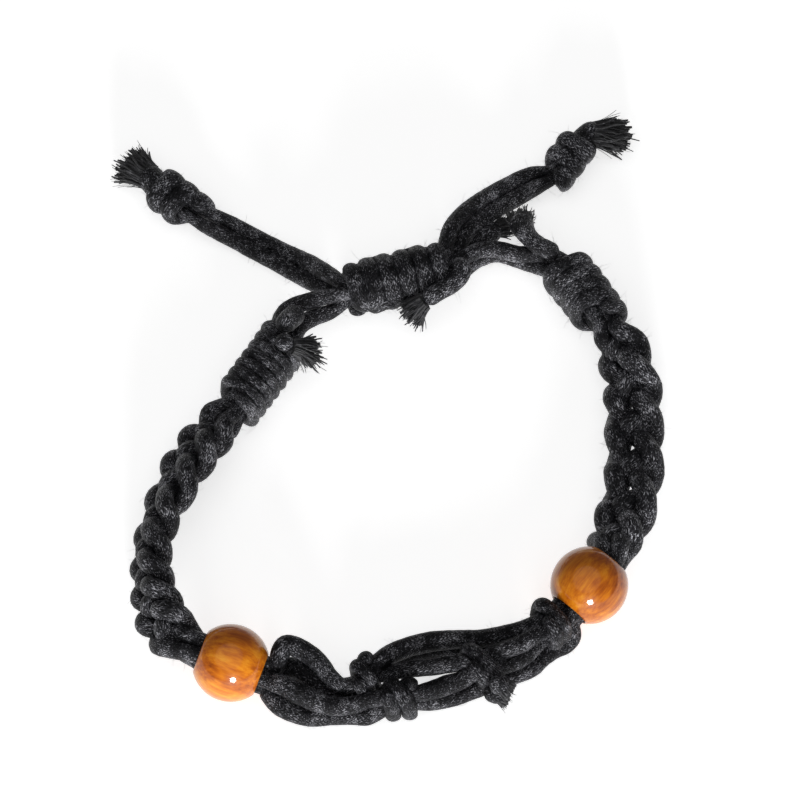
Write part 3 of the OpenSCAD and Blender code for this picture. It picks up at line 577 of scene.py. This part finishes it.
def woven_finish(name, shade):
    """Near-black waxed cotton cord: two sets of fine strands that cross two over two, with
    painted glints where single fibres would catch the light and painted shade in its hollows. A
    lower shade darkens a region's colour and gloss as painted shade."""
    # The shade lowers the gloss too, as part of the painted shade
    material, tree, shader = new_finish(name, Specular_IOR_Level=COTTON_GLOSS * shade)
    place_on = tree.nodes.new("ShaderNodeUVMap")
    parts = tree.nodes.new("ShaderNodeSeparateXYZ")
    tree.links.new(place_on.outputs["UV"], parts.inputs[0])
    where = tree.nodes.new("ShaderNodeTexCoord").outputs["Object"]
    sway = blended(tree, speckle(tree, where, SWAY_NOISE), -SWAY, SWAY)
    round_it = result_of(tree, "MULTIPLY", parts.outputs["X"], STRANDS)
    along = result_of(tree, "DIVIDE", parts.outputs["Y"], STRAND_LEAD)
    along = result_of(tree, "ADD", along, sway)
    right = result_of(tree, "ADD", round_it, along)
    left = result_of(tree, "SUBTRACT", round_it, along)
    crossing = result_of(
        tree, "ADD", result_of(tree, "FLOOR", right), result_of(tree, "FLOOR", left)
    )
    over = result_of(
        tree, "LESS_THAN", result_of(tree, "FLOORED_MODULO", crossing, REPEAT), OVER
    )
    across = blended(tree, over, left, right)
    down = blended(tree, over, right, left)
    half_turn = result_of(tree, "MULTIPLY", result_of(tree, "FRACT", across), math.pi)
    crown = result_of(tree, "SINE", half_turn)
    fibre_place = tree.nodes.new("ShaderNodeCombineXYZ")
    feed(tree, fibre_place.inputs[0], across)
    feed(tree, fibre_place.inputs[1], result_of(tree, "MULTIPLY", down, FIBRE_STRETCH))
    feed(tree, fibre_place.inputs[2], result_of(tree, "MULTIPLY", over, SETS_APART))
    fibres = speckle(tree, fibre_place.outputs[0], FIBRE_NOISE)
    patches = speckle(tree, where, PATCH_NOISE)
    wax = speckle(tree, where, WAX_NOISE)
    height = weighed(tree, (crown, 0.45), (fibres, 0.9))
    # Share of painted light: fibre flecks give painted glints, and strand crowns over hollows
    # give painted shade; the patches vary it at random
    painted_light = weighed(tree, (fibres, 0.8), (crown, 0.12), (patches, 0.42))
    colour = ramp(tree, painted_light, COTTON_TONES, shade)
    tree.links.new(colour, shader.inputs["Base Color"])
    feed(tree, shader.inputs["Roughness"], blended(tree, wax, *COTTON_ROUGHNESS))
    feed(tree, shader.inputs["Normal"], bumped(tree, height, WEAVE_DEPTH))
    return material


# Noises, depth, roughness and colours of loose fibres
TONE_NOISE = (1500.0, 2.0, 0.6)
FIBRE_ROUGH_NOISE = (9000.0, 3.0, 0.55)
FIBRE_DEPTH = 0.03 * MM
FIBRE_ROUGHNESS = (0.4, 0.7)
FIBRE_TONES = (
    (0.35, (0.006, 0.006, 0.007)), (0.58, (0.02, 0.02, 0.023)), (0.74, (0.13, 0.13, 0.14)),
)


def fibre_finish():
    """Loose cotton fibres: charcoal, some of them paler where the wax is gone."""
    material, tree, shader = new_finish("loose_cotton", Sheen_Weight=0.15)
    where = tree.nodes.new("ShaderNodeTexCoord").outputs["Object"]
    tone = speckle(tree, where, TONE_NOISE)
    tree.links.new(ramp(tree, tone, FIBRE_TONES), shader.inputs["Base Color"])
    feed(tree, shader.inputs["Roughness"], blended(tree, tone, *FIBRE_ROUGHNESS))
    rough = speckle(tree, where, FIBRE_ROUGH_NOISE)
    feed(tree, shader.inputs["Normal"], bumped(tree, rough, FIBRE_DEPTH))
    return material


# The right bead is a little deeper in colour than the left one
WOOD_SHADES = {"left_bead_wood": 1.0, "right_bead_wood": 0.84}
# How far the wood's grain is drawn out along the hole, and its noises, depth, roughness and
# colours
GRAIN_STRETCH = (0.16, 1.0, 1.0)
GRAIN_NOISE = (1700.0, 5.0, 0.62)
WIDE_NOISE = (420.0, 3.0, 0.5)
CLOUD_NOISE = (230.0, 2.0, 0.5)
GRAIN_DEPTH = 0.02 * MM
WOOD_ROUGHNESS = (0.3, 0.5)
WOOD_TONES = (
    (0.34, (0.2, 0.035, 0.002)), (0.45, (0.44, 0.1, 0.004)),
    (0.54, (0.64, 0.19, 0.006)), (0.68, (0.8, 0.35, 0.025)),
)


def wood_finish(name, tilt, turn):
    """Varnished amber wood with its grain along the hole, under a clear coat."""
    material, tree, shader = new_finish(
        name, Coat_Weight=1.0, Coat_Roughness=0.06, Coat_IOR=1.41, Specular_IOR_Level=0.15
    )
    where = tree.nodes.new("ShaderNodeTexCoord").outputs["Object"]
    turned = tree.nodes.new("ShaderNodeMapping")
    turned.vector_type = "TEXTURE"
    turned.inputs["Rotation"].default_value = (0, tilt, turn)
    tree.links.new(where, turned.inputs["Vector"])
    stretched = tree.nodes.new("ShaderNodeVectorMath")
    stretched.operation = "MULTIPLY"
    tree.links.new(turned.outputs[0], stretched.inputs[0])
    stretched.inputs[1].default_value = GRAIN_STRETCH
    grain = speckle(tree, stretched.outputs[0], GRAIN_NOISE)
    wide = speckle(tree, stretched.outputs[0], WIDE_NOISE)
    cloud = speckle(tree, where, CLOUD_NOISE)
    tone = weighed(tree, (grain, 0.42), (wide, 0.33), (cloud, 0.25))
    colour = ramp(tree, tone, WOOD_TONES, WOOD_SHADES[name])
    tree.links.new(colour, shader.inputs["Base Color"])
    feed(tree, shader.inputs["Roughness"], blended(tree, grain, *WOOD_ROUGHNESS))
    feed(tree, shader.inputs["Normal"], bumped(tree, grain, GRAIN_DEPTH, 0.5))
    return material


# Each region has its own copy of the cord, darkened by its shade: painted shade, most on the net,
# the
# # sliding knot and the left strap
COTTON = {
    region: woven_finish(f"cotton_with_painted_shade_{region}", shade)
    for region, shade in (
        ("left_strap", 0.85), ("right_strap", 1.0), ("net", 0.58), ("knots", 0.9), ("ends", 0.9),
        ("drawcords", 0.9), ("sliding", 0.68),
    )
}
FIBRE = fibre_finish()


def woven_piece(node, shell, region):
    """A piece of woven cord that stands for a plain node of the part's source."""
    return finish_piece(f"{node}_woven", shell, COTTON[region], [node])


def cord_rows(shell, rows, region, bulge=BULGE, **more):
    """A round cord along a route. Its bulge is a share, or a share for each place."""
    fine = smooth(rows)
    line = fine[:, :3]
    swelled = bulge(line) if callable(bulge) else bulge
    half = CORD_R * swelled * fine[:, THICK]
    tube(shell, line, carried(headings(line)), half, half, region, **more)
    return line


def drawn(line):
    """Bulge of a drawcord at each of its places."""
    return np.interp(line[:, 0], DRAW_PLACES, DRAW_BULGES)


# Places of the drawcords inside the sliding knot, in degrees round it
UPPER_RIGHT = 45
UPPER_LEFT = 135
LOWER_LEFT = 225
LOWER_RIGHT = 315
# Share of their thickness that they keep there, and steps of the way through
PRESSED = 0.8
PASS_STEPS = 6


def passing(start_angle, back):
    """Stretch of a drawcord inside the sliding knot: the bundle makes half a turn."""
    first, last = np.array(SLIDING)
    along = unit(last - first)
    left = unit(np.cross([0, 0, 1], along))
    up = np.array([0, 0, 1])
    reach = (CORD_R * PRESSED + GAP / 2) * math.sqrt(2)
    rows = []
    for i in range(PASS_STEPS + 1):
        part = 1 - i / PASS_STEPS if back else i / PASS_STEPS
        angle = math.radians(start_angle + 180 * part)
        around = (left * math.cos(angle) + up * math.sin(angle)) * reach
        rows.append([*(first + (last - first) * part + around), PRESSED])
    return rows


def drawcord(name, inward, start_angle, outward, back=False):
    """A drawcord from its wrapped knot through the sliding knot to its end knot."""
    shell = bmesh.new()
    rows = inward + passing(start_angle, back) + outward
    line = cord_rows(shell, rows, "drawcords", drawn)
    return woven_piece(name, shell, "drawcords"), (line - MIDDLE) * MM


drawcords = [
    drawcord("left_drawcord_1", LEFT_DRAWCORD_1_IN, UPPER_LEFT, LEFT_DRAWCORD_1_OUT),
    drawcord("left_drawcord_2", LEFT_DRAWCORD_2_IN, LOWER_LEFT, LEFT_DRAWCORD_2_OUT),
    drawcord("right_drawcord_1", RIGHT_DRAWCORD_1_IN, UPPER_RIGHT, RIGHT_DRAWCORD_1_OUT, True),
    drawcord("right_drawcord_2", RIGHT_DRAWCORD_2_IN, LOWER_RIGHT, RIGHT_DRAWCORD_2_OUT, True),
]

# A braided cord goes through eight steps and then repeats. Two of them make one lobe
BRAID_CORDS = 4
STEPS = 8
LOBE_STEPS = 2
LOBE_PHASE = 1.5
LOBE_PARTS = 12
# Phases at which it starts to go over, round the edge, under, and back
OVER_FROM = 0.5
EDGE_FROM = 2.5
UNDER_FROM = 4.5
BACK_FROM = 6.5


def across_at(phase):
    """Side to side place of a braided cord, from -1 to 1."""
    return -np.cos(2 * math.pi * (phase + 0.5) / STEPS)


# A cord turns short at the braid's inner edge, where it swells to a round lobe, and runs
# longer along its outer edge
INNER_TURN = 1.9
OUTER_TURN = 0.62
INNER_SWELL = 0.14


def lobed(share):
    """Side to side place of a braided cord with short inner turns and long outer ones."""
    return np.where(share < 0, -np.abs(share) ** INNER_TURN, np.abs(share) ** OUTER_TURN)


def height_at(phase):
    """Height of a braided cord, from -1 to 1: over, round the edge, under, and back."""
    t = phase - STEPS * np.floor((phase - OVER_FROM) / STEPS)

    def eased(share):
        return np.sign(share) * np.sqrt(np.abs(share))

    return np.select(
        [t < EDGE_FROM, t < UNDER_FROM, t < BACK_FROM],
        [np.cos(math.pi * (t - OVER_FROM)), eased(np.cos(math.pi / 2 * (t - EDGE_FROM))),
         -np.cos(math.pi * (t - UNDER_FROM))],
        -eased(np.cos(math.pi / 2 * (t - BACK_FROM))),
    )


def corner_at(phase):
    """Corner of the bundle of four that a cord takes where a braid ends."""
    return np.sign(across_at(phase)), np.sign(height_at(phase))


# How many times a braided cord's line is softened
SOFTENINGS = 2


def softened(values):
    """Rounds off what is angular in a run of rows."""
    for _ in range(SOFTENINGS):
        inner = (values[:-2] + 2 * values[1:-1] + values[2:]) / 4
        values = np.concatenate([values[:1], inner, values[-1:]])
    return values


# A braid's cords start this far along inside the bead, and the net's cords reach this far in
HIDDEN = 1.2
INSIDE = 1.8
# Share of a lobe at each end of a braid that the turns leave out
LOBE_EDGE = 1 / 4
NEARLY_NONE = 1e-6


def braid_cord(name, strap, k, region, soft):
    """One cord of a flat braid of four, which bulges by a share where it is braided."""
    fine = smooth(strap, STRAP_STEP)
    runs = distances(fine)
    first, last = strap[0][LOBES], strap[-1][LOBES]
    moving = (fine[:, LOBES] > first) & (fine[:, LOBES] < last)
    begin, end = runs[moving][0], runs[moving][-1]
    lobes = np.arange(first + LOBE_EDGE, last - LOBE_EDGE + NEARLY_NONE, 1 / LOBE_PARTS)
    stops = np.concatenate([
        np.arange(HIDDEN, begin, STEP),
        np.interp(lobes, fine[moving][:, LOBES], runs[moving]),
        np.linspace(end, runs[-1], round((runs[-1] - end) / STEP)),
    ])
    rows = rows_at(fine, runs, stops)
    heads = headings(rows[:, :3])
    left = unit(np.cross([0, 0, 1], heads))
    up = np.cross(heads, left)
    roll = np.radians(rows[:, ROLL])[:, None]
    aside = left * np.cos(roll) + up * np.sin(roll)
    rise = up * np.cos(roll) - left * np.sin(roll)
    phase = LOBE_PHASE + LOBE_STEPS * (np.clip(rows[:, LOBES], first, last) + k)
    starts, ends = (
        corner_at(np.array(LOBE_PHASE + LOBE_STEPS * (lobe + k))) for lobe in (first, last)
    )
    near = stops < runs[-1] / 2
    spread = np.clip(rows[:, SPREAD], 0, 1)
    held = BUNDLE * rows[:, THICK]
    out = np.where(near, starts[0], ends[0]) * held * (1 - spread)
    # The softer the cord, the further in its middle lies
    reach = (BRAID_W - BRAIDED_W * (2 * soft - 1)) / 2 + LOBE_OUT
    out = out + lobed(across_at(phase)) * reach * spread
    high = np.where(near, starts[1], ends[1]) * held * (1 - spread)
    high = high + height_at(phase) * (BRAID_H - BRAIDED_T) / 2 * spread
    line = rows[:, :3] + aside * out[:, None] + rise * high[:, None]
    line = softened(line)
    ways = headings(line)
    firm = CORD_R * rows[:, THICK]
    swell = np.where(across_at(phase) < 0, INNER_SWELL * across_at(phase) ** 4, 0)
    bulge = 1 + (soft - 1) * (BUNDLED + (1 - BUNDLED) * spread) + swell * spread
    half_w = (firm * (1 - spread) + BRAIDED_W / 2 * spread) * bulge
    half_t = (firm * (1 - spread) + BRAIDED_T / 2 * spread) * bulge
    shell = bmesh.new()
    tube(shell, line, unit(np.cross(rise, ways)), half_w, half_t, region)
    woven_piece(name, shell, region)


for k in range(BRAID_CORDS):
    braid_cord(f"left_braid_cord_{k + 1}", LEFT_STRAP, k, "left_strap", LEFT_BRAID_BULGE)
    braid_cord(f"right_braid_cord_{k + 1}", RIGHT_STRAP, k, "right_strap", RIGHT_BRAID_BULGE)


def into_bead(row, strap):
    """A row inside a bead, in line with its hole, for a cord that comes out of it."""
    way = unit(np.array(strap[1][:3]) - np.array(strap[0][:3]))
    return [*(np.array(row[:3]) + way * INSIDE), row[THICK]]


for k, rows in enumerate(NET_CORDS):
    shell = bmesh.new()
    # The first four come out of the beads, and the fifth out of a knot
    if k < BRAID_CORDS:
        rows = [into_bead(rows[0], LEFT_STRAP), *rows, into_bead(rows[-1], RIGHT_STRAP)]
    cord_rows(shell, rows, "net")
    woven_piece(f"net_cord_{k + 1}", shell, "net")

# Rings in a turn of a wrap, where a wrap starts, and how square it lies round its cords
WRAP_STEPS = 48
WRAP_START = math.pi / 2
SQUARE = 3


def wound(shell, middle, coil, turns, slant, flat, region, merged=0.0):
    """A cord wound round a middle line. Turns are wider, by a share, where they merge on
    the line's right side."""
    fine = smooth(middle, WRAP_STEP)
    runs = distances(fine)
    count = round(turns * WRAP_STEPS)
    share = np.linspace(0, 1, count + 1)
    rows = rows_at(fine, runs, runs[-1] * share)
    heads = headings(rows)
    left = unit(np.cross([0, 0, 1], heads))
    up = np.cross(heads, left)
    angle = (WRAP_START + 2 * math.pi * turns * share)[:, None]
    bulge = (np.abs(np.cos(angle)) ** SQUARE + np.abs(np.sin(angle)) ** SQUARE) ** (-1 / SQUARE)
    out = (left * np.cos(angle) * coil[0] + up * np.sin(angle) * coil[1]) * bulge
    line = rows + out + heads * slant * np.cos(angle)
    ways = headings(line)
    wide = flat[1] * (1 + merged * (1 - np.cos(angle[:, 0])) / 2)
    tube(
        shell, line, squared(unit(out), ways), np.full(count + 1, flat[0]), wide, region,
        WRAP_LUMPS, round_start=True, round_end=True,
    )


# Share of a cord's radius that is left where a wrap of the net holds it, and the half width
# of such a wrap
HELD = 0.87
NET_WRAP = 0.8
# Soft wraps are this much thicker than the source's. Those of the net are as much wider, and
# all others are wider by the second share
WRAP_BULGE = 1.25
WIDER = 1.12
for k, (middle, (across, upwards, turns, slant)) in enumerate(zip(NET_KNOTS, NET_HOLDS)):
    shell = bmesh.new()
    coil = [CORD_R * HELD * count + FLAT + GAP for count in (across, upwards)]
    wound(shell, middle, coil, turns, slant, (FLAT * WRAP_BULGE, NET_WRAP * WRAP_BULGE), "net")
    woven_piece(f"net_knot_{k + 1}", shell, "net")

# Radius of the long wraps' middle line, and reach of the end knots' wraps
wrapped_r = WRAPPED_D / 2 - FLAT
LEFT_REACH = 1.5
RIGHT_REACH = 1.2
left_coil = (LEFT_REACH + FLAT, LEFT_REACH / 2 + FLAT)
right_coil = (RIGHT_REACH + FLAT, RIGHT_REACH / 2 + FLAT)
# Radius of the neck between an end knot and its tassel
LEFT_NECK = 1.75
RIGHT_NECK = 1.45
# Share of the way through a knot where its neck starts, share of the way along the tassel
# where it ends, and its share of that radius at each row
NECK_FROM = 0.5
NECK_TO = 0.2
NECK_SHARES = (0.8, 1, 1, 0.95, 0.8)
# Each winding has its turns, its slant, its half width and how far its turns merge
for name, middle, coil, (turns, slant, half, merged), region, tassel, stout in (
    ("left_wrapped_knot", LEFT_WRAP, (wrapped_r, wrapped_r), (7, 0.5, 0.75, 0), "knots", None, 0),
    ("right_wrapped_knot", RIGHT_WRAP, (wrapped_r, wrapped_r), (4.5, 0.9, 1.05, 0), "knots",
     None, 0),
    ("left_end_knot", LEFT_END, left_coil, (2.5, 0.5, 1.05, 0.5), "ends", LEFT_TASSEL, LEFT_NECK),
    ("right_end_knot", RIGHT_END, right_coil, (2.5, 0.5, 1.05, 0.3), "ends", RIGHT_TASSEL,
     RIGHT_NECK),
):
    shell = bmesh.new()
    wound(shell, middle, coil, turns, slant, (FLAT * WRAP_BULGE, half * WIDER), region, merged)
    if tassel:
        # Both drawcords leave the knot together, as its neck
        inner, outer = np.array(middle)
        root, waist, tip = np.array(tassel)
        begin = inner + (outer - inner) * NECK_FROM
        end = waist * (1 - NECK_TO) + tip * NECK_TO
        places = (begin, outer, root, waist, end)
        neck = [[*place, thick] for place, thick in zip(places, NECK_SHARES)]
        cord_rows(shell, neck, region, stout / CORD_R, round_start=True, round_end=True)
    woven_piece(name, shell, region)

# Working cords of the sliding knot: half thickness, half width, how much thicker they are than
# the source's, and their reach round the drawcords in degrees, each way
WORKING = (0.75, 1.05)
WORKING_BULGE = 1.2
WORKING_REACH = 82
# Rows in half a bar and in a turn
BAR_STEPS = 9
TURN_STEPS = 9


def bars(count, pitch, reach):
    """A working cord flattened out: straight bars joined at alternate edges by half circles."""
    places = []
    for i in range(count):
        toward = 1 if i % 2 == 0 else -1
        bar = reach - pitch / 2
        for k in range(-BAR_STEPS, BAR_STEPS + 1):
            places.append((i * pitch, toward * bar * k / BAR_STEPS))
        if i < count - 1:
            for k in range(1, TURN_STEPS + 1):
                angle = math.pi * k / (TURN_STEPS + 1)
                places.append((
                    i * pitch + pitch / 2 * (1 - math.cos(angle)),
                    toward * (bar + pitch / 2 * math.sin(angle)),
                ))
    return np.array(places)


def working_cord(shell, facing):
    """One working cord of the square knots that close the loop."""
    first, last = np.array(SLIDING)
    along = unit(last - first)
    left = unit(np.cross([0, 0, 1], along))
    up = np.cross(along, left)
    radius = SLIDING_D / 2 - WORKING[0]
    length = np.linalg.norm(last - first)
    pitch = (length - 2 * WORKING[1]) / (HALF_KNOTS - 1)
    places = bars(HALF_KNOTS, pitch, radius * math.radians(WORKING_REACH))
    angle = (math.radians(facing) + places[:, 1] / radius)[:, None]
    out = left * np.cos(angle) + up * np.sin(angle)
    line = first + along * (places[:, :1] + WORKING[1]) + out * radius
    ways = headings(line)
    count = len(line)
    tube(shell, line, squared(out, ways), np.full(count, WORKING[0] * WORKING_BULGE),
         np.full(count, WORKING[1] * WIDER), "knots", WORKING_LUMPS, True, True)


# One working cord lies over the drawcords, and the other under them
shell = bmesh.new()
for facing in (90, 270):
    working_cord(shell, facing)
woven_piece("sliding_knot", shell, "sliding")

for name, stubs, region in (
    ("net_cut_ends", (NET_END_1, NET_END_2), "net"),
    ("left_cut_ends", (LEFT_STUB_1, LEFT_STUB_2), "knots"),
    ("right_cut_ends", (RIGHT_STUB,), "knots"),
    ("sliding_knot_cut_ends", (SLIDING_STUB_1, SLIDING_STUB_2), "knots"),
):
    shell = bmesh.new()
    for rows in stubs:
        cord_rows(shell, rows, region, round_start=True, round_end=True)
    woven_piece(name, shell, region)


def strands(name, paths, thickness, stands_for=(), sides=1):
    """Many thin strands as one piece. Each path has rows of place and share of thickness."""
    curve = bpy.data.curves.new(name, "CURVE")
    curve.dimensions = "3D"
    curve.bevel_depth = thickness / 2 * MM
    curve.bevel_resolution = sides
    curve.use_fill_caps = True
    for path in paths:
        spline = curve.splines.new("POLY")
        spline.points.add(len(path) - 1)
        places = np.ones((len(path), 4))
        places[:, :3] = (path[:, :3] - MIDDLE) * MM
        spline.points.foreach_set("co", places.ravel())
        spline.points.foreach_set("radius", path[:, 3])
    guide = added(name, curve)
    made = guide.evaluated_get(bpy.context.evaluated_depsgraph_get())
    mesh = bpy.data.meshes.new_from_object(made)
    bpy.data.objects.remove(guide)
    bpy.data.curves.remove(curve)
    shell = bmesh.new()
    shell.from_mesh(mesh)
    bpy.data.meshes.remove(mesh)
    for face in shell.faces:
        face.smooth = True
    finish_piece(name, shell, FIBRE, stands_for)


# Yarns: thickness in millimetres, points of each, how far they sag, how late they fan out, the
# least height of their middle, how much flatter than wide the brush is, how their width
# varies, and their waves
YARN_D = 0.2
YARN_POINTS = 10
YARN_SAG = 0.4
FAN_POWER = 1.3
FLOOR_ROOM = 0.15
BRUSH_HEIGHT = 0.75
YARN_VARIED = (0.6, 1.3)
YARN_TAPER = 0.45
WAVES = (4, 9)
WAVE_START = 6


def brush(rows, count, root_r, fan, thick, curl, blunt=0.12, rounded=0.12):
    """Yarns that fan out from the end of a cord: a dense, blunt brush. Their lengths vary by
    a share, and the outer ones are shorter by another."""
    root, waist, tip = (np.array(row) for row in rows)
    along = unit(tip - waist)
    side = unit(np.cross([0, 0, 1], along))
    over = np.cross(along, side)
    reach = np.linalg.norm(tip - waist)
    share = np.linspace(0, 1, YARN_POINTS)[:, None]
    paths = []
    for _ in range(count):
        spin = chance.uniform(0, 2 * math.pi)
        far = math.sqrt(chance.uniform(0, 1))
        out = side * math.cos(spin) + over * math.sin(spin) * BRUSH_HEIGHT
        length = reach * (1 + chance.normal(0, blunt)) * (1 - rounded * far ** 2)
        start = root + out * far * root_r
        bend = chance.normal(0, 1, 3) * curl
        wave = np.sin(share * chance.uniform(*WAVES) + chance.uniform(0, WAVE_START)) * curl / 2
        path = start + (waist - root) * share + along * length * share
        path = path + out * far * fan * share ** FAN_POWER + bend * share ** 2
        path = path + np.cross(along, out) * wave * share
        path[:, 2:] -= YARN_SAG * share ** 2
        path[:, 2] = np.maximum(path[:, 2], FLOOR_ROOM)
        width = thick * chance.uniform(*YARN_VARIED)
        taper = width * (1 - YARN_TAPER * share ** 4)
        paths.append(np.hstack([path, taper]))
    return paths


def frayed(name, rows, parts, stands_for=()):
    """A frayed end: thick yarns in its middle and finer ones round them. Each part has its
    count, root radius, fan, thickness and curl, and may have its two shares of length."""
    paths = []
    for part in parts:
        paths += brush(rows, *part)
    strands(name, paths, YARN_D, stands_for)


frayed("left_tassel_yarns", LEFT_TASSEL, (
    (80, 1.5, 0.7, 3.0, 0.25), (240, 1.75, 0.9, 1.5, 0.35), (160, 1.8, 1.1, 0.5, 0.5),
), ["left_tassel"])
frayed("right_tassel_yarns", RIGHT_TASSEL, (
    (90, 1.3, 0.9, 3.0, 0.4, 0.05, 0.3), (200, 1.55, 1.1, 1.6, 0.5, 0.06, 0.35),
    (90, 1.6, 1.2, 0.5, 0.6, 0.07, 0.4),
), ["right_tassel"])
frayed("left_tuft_yarns", LEFT_TUFT, (
    (50, 0.95, 1.2, 2.2, 0.3), (90, 1.0, 1.5, 1.1, 0.4), (50, 1.0, 1.8, 0.5, 0.5),
))
frayed("sliding_tuft_yarns", SLIDING_TUFT, (
    (60, 1.1, 0.8, 2.2, 0.25), (110, 1.15, 1.0, 1.2, 0.35), (70, 1.2, 1.2, 0.5, 0.5),
))


# The fibres of a cut end part this far before it
CUT_WAIST = 0.4


def cut_end(rows, reach):
    """Root, waist and tip of the short fibres at a cut end."""
    before, last = (np.array(row[:3]) for row in rows[-2:])
    way = unit(last - before)
    return [before, last - way * CUT_WAIST, last + way * reach]


for name, rows, parts in (
    ("right_tuft_yarns", cut_end(RIGHT_STUB, 0.6),
     ((60, 1.4, 0.3, 2.2, 0.2), (140, 1.6, 0.4, 1.0, 0.3), (70, 1.65, 0.6, 0.5, 0.5))),
    ("net_tuft_1_yarns", cut_end(NET_END_1, 0.4),
     ((30, 1.0, 0.2, 2.0, 0.1), (80, 1.1, 0.3, 0.9, 0.15), (40, 1.1, 0.5, 0.45, 0.3))),
    ("net_tuft_2_yarns", cut_end(NET_END_2, 0.3),
     ((30, 0.9, 0.2, 2.0, 0.1), (80, 1.0, 0.3, 0.9, 0.15), (40, 1.0, 0.5, 0.45, 0.3))),
    ("hidden_tuft_yarns", cut_end(SLIDING_STUB_2, 1.2),
     ((30, 0.8, 0.4, 1.8, 0.2), (70, 0.9, 0.6, 1.0, 0.3))),
):
    frayed(name, rows, parts)


# Hairs: thickness in millimetres, points of each, how far they lean and bend, how their
# lengths vary, how much finer their tips are, and their least height
HAIR_D = 0.028
HAIR_POINTS = 5
HAIR_LEAN = 0.7
HAIR_BEND = 0.35
HAIR_LENGTHS = (0.15, 1)
HAIR_TAPER = 0.5
HAIR_FLOOR = 0.02


def fuzz(name, region, count, longest):
    """Fine hairs that stand off the cords of a region."""
    points, outward = (np.vstack(parts) for parts in zip(*surfaces[region]))
    paths = []
    share = np.linspace(0, 1, HAIR_POINTS)[:, None]
    for index in chance.integers(0, len(points), count):
        lean = unit(outward[index] + chance.normal(0, HAIR_LEAN, 3))
        length = longest * chance.uniform(*HAIR_LENGTHS) ** 2
        bend = chance.normal(0, HAIR_BEND, 3) * length
        path = points[index] + lean * length * share + bend * share ** 2
        path[:, 2] = np.maximum(path[:, 2], HAIR_FLOOR)
        paths.append(np.hstack([path, 1 - HAIR_TAPER * share]))
    strands(name, paths, HAIR_D, sides=0)


fuzz("left_strap_fuzz", "left_strap", 1500, 1.2)
fuzz("right_strap_fuzz", "right_strap", 1300, 1.2)
fuzz("net_fuzz", "net", 1400, 1.2)
fuzz("knot_fuzz", "knots", 1800, 1.4)
fuzz("drawcord_fuzz", "drawcords", 1200, 1.1)
fuzz("end_knot_fuzz", "ends", 500, 1.3)

# Facets round a bead and along its section, how far the rim of its hole is rounded and how
# deep, the angle at which the rounding starts, and its facets
BEAD_FACETS = 96
SECTION_FACETS = 48
RIM = 0.2
RIM_DEPTH = 0.7
RIM_START = 0.25
RIM_FACETS = 6


def bead(name, strap):
    """A drilled bead: the section of its wall, spun round the hole."""
    middle = (np.array(strap[1][:3]) - MIDDLE) * MM
    way = unit(np.array(strap[2][:3]) - np.array(strap[0][:3]))
    turn = math.atan2(way[1], way[0])
    tilt = -math.asin(way[2])
    radius = BEAD_D / 2
    bore = BEAD_HOLE_D / 2
    mouth = math.sqrt(radius ** 2 - (bore + RIM) ** 2)
    start = math.asin((bore + RIM) / radius)
    section = []
    for angle in np.linspace(start, math.pi - start, SECTION_FACETS):
        section.append((radius * math.cos(angle), radius * math.sin(angle)))
    for side in (-1, 1):
        rim = [
            (side * (mouth - RIM * (1 - math.cos(a)) * RIM_DEPTH), bore + RIM * (1 - math.sin(a)))
            for a in np.linspace(RIM_START, math.pi / 2, RIM_FACETS)
        ]
        section.extend(rim if side < 0 else reversed(rim))
    shell = bmesh.new()
    verts = [shell.verts.new((x * MM, r * MM, 0)) for x, r in section]
    edges = [shell.edges.new((a, b)) for a, b in zip(verts, verts[1:] + verts[:1])]
    bmesh.ops.spin(shell, geom=verts + edges, axis=(1, 0, 0), cent=(0, 0, 0), steps=BEAD_FACETS,
                   angle=2 * math.pi, use_merge=True, use_duplicate=False)
    bmesh.ops.remove_doubles(shell, verts=shell.verts, dist=MERGED)
    for face in shell.faces:
        face.smooth = True
    turned = Matrix.Rotation(turn, 4, "Z") @ Matrix.Rotation(tilt, 4, "Y")
    shell.transform(Matrix.Translation(Vector(middle)) @ turned)
    wood = wood_finish(f"{name}_wood", tilt, turn)
    finish_piece(f"{name}_turned", shell, wood, [name])


bead("left_bead", LEFT_STRAP)
bead("right_bead", RIGHT_STRAP)


# Light: a low lamp in front, as the highlights low on the beads show, a table that glows a
# little from below, and a dim white room
FLOOR_SIZE = 3.0
FLOOR_GLOW = 0.68
ROOM_GLOW = 0.12
floor_shell = bmesh.new()
bmesh.ops.create_grid(floor_shell, x_segments=1, y_segments=1, size=FLOOR_SIZE)
paper = new_finish(
    "white_paper", Base_Color=(0.9, 0.9, 0.9, 1), Roughness=0.9, Specular_IOR_Level=0.0,
    Emission_Color=(1, 1, 1, 1), Emission_Strength=FLOOR_GLOW,
)[0]
floor = meshed("floor", floor_shell, paper)


def lamp(name, place, size, power):
    """A round soft lamp that looks at the bracelet."""
    data = bpy.data.lights.new(name, "AREA")
    data.shape = "DISK"
    data.size = size
    data.energy = power
    aimed(name, data, place, back=place).visible_camera = False


lamp("front_lamp", place=(0.05, -0.7, 0.11), size=0.2, power=5.5)
lamp("top_lamp", place=(-0.1, -0.2, 0.9), size=1.6, power=3.0)

world = bpy.data.worlds.new("white_room")
bpy.context.scene.world = world
world.use_nodes = True
backdrop = next(node for node in world.node_tree.nodes if node.type == "BACKGROUND")
backdrop.inputs["Color"].default_value = (1, 1, 1, 1)
backdrop.inputs["Strength"].default_value = ROOM_GLOW

bpy.context.scene.view_settings.view_transform = "Standard"
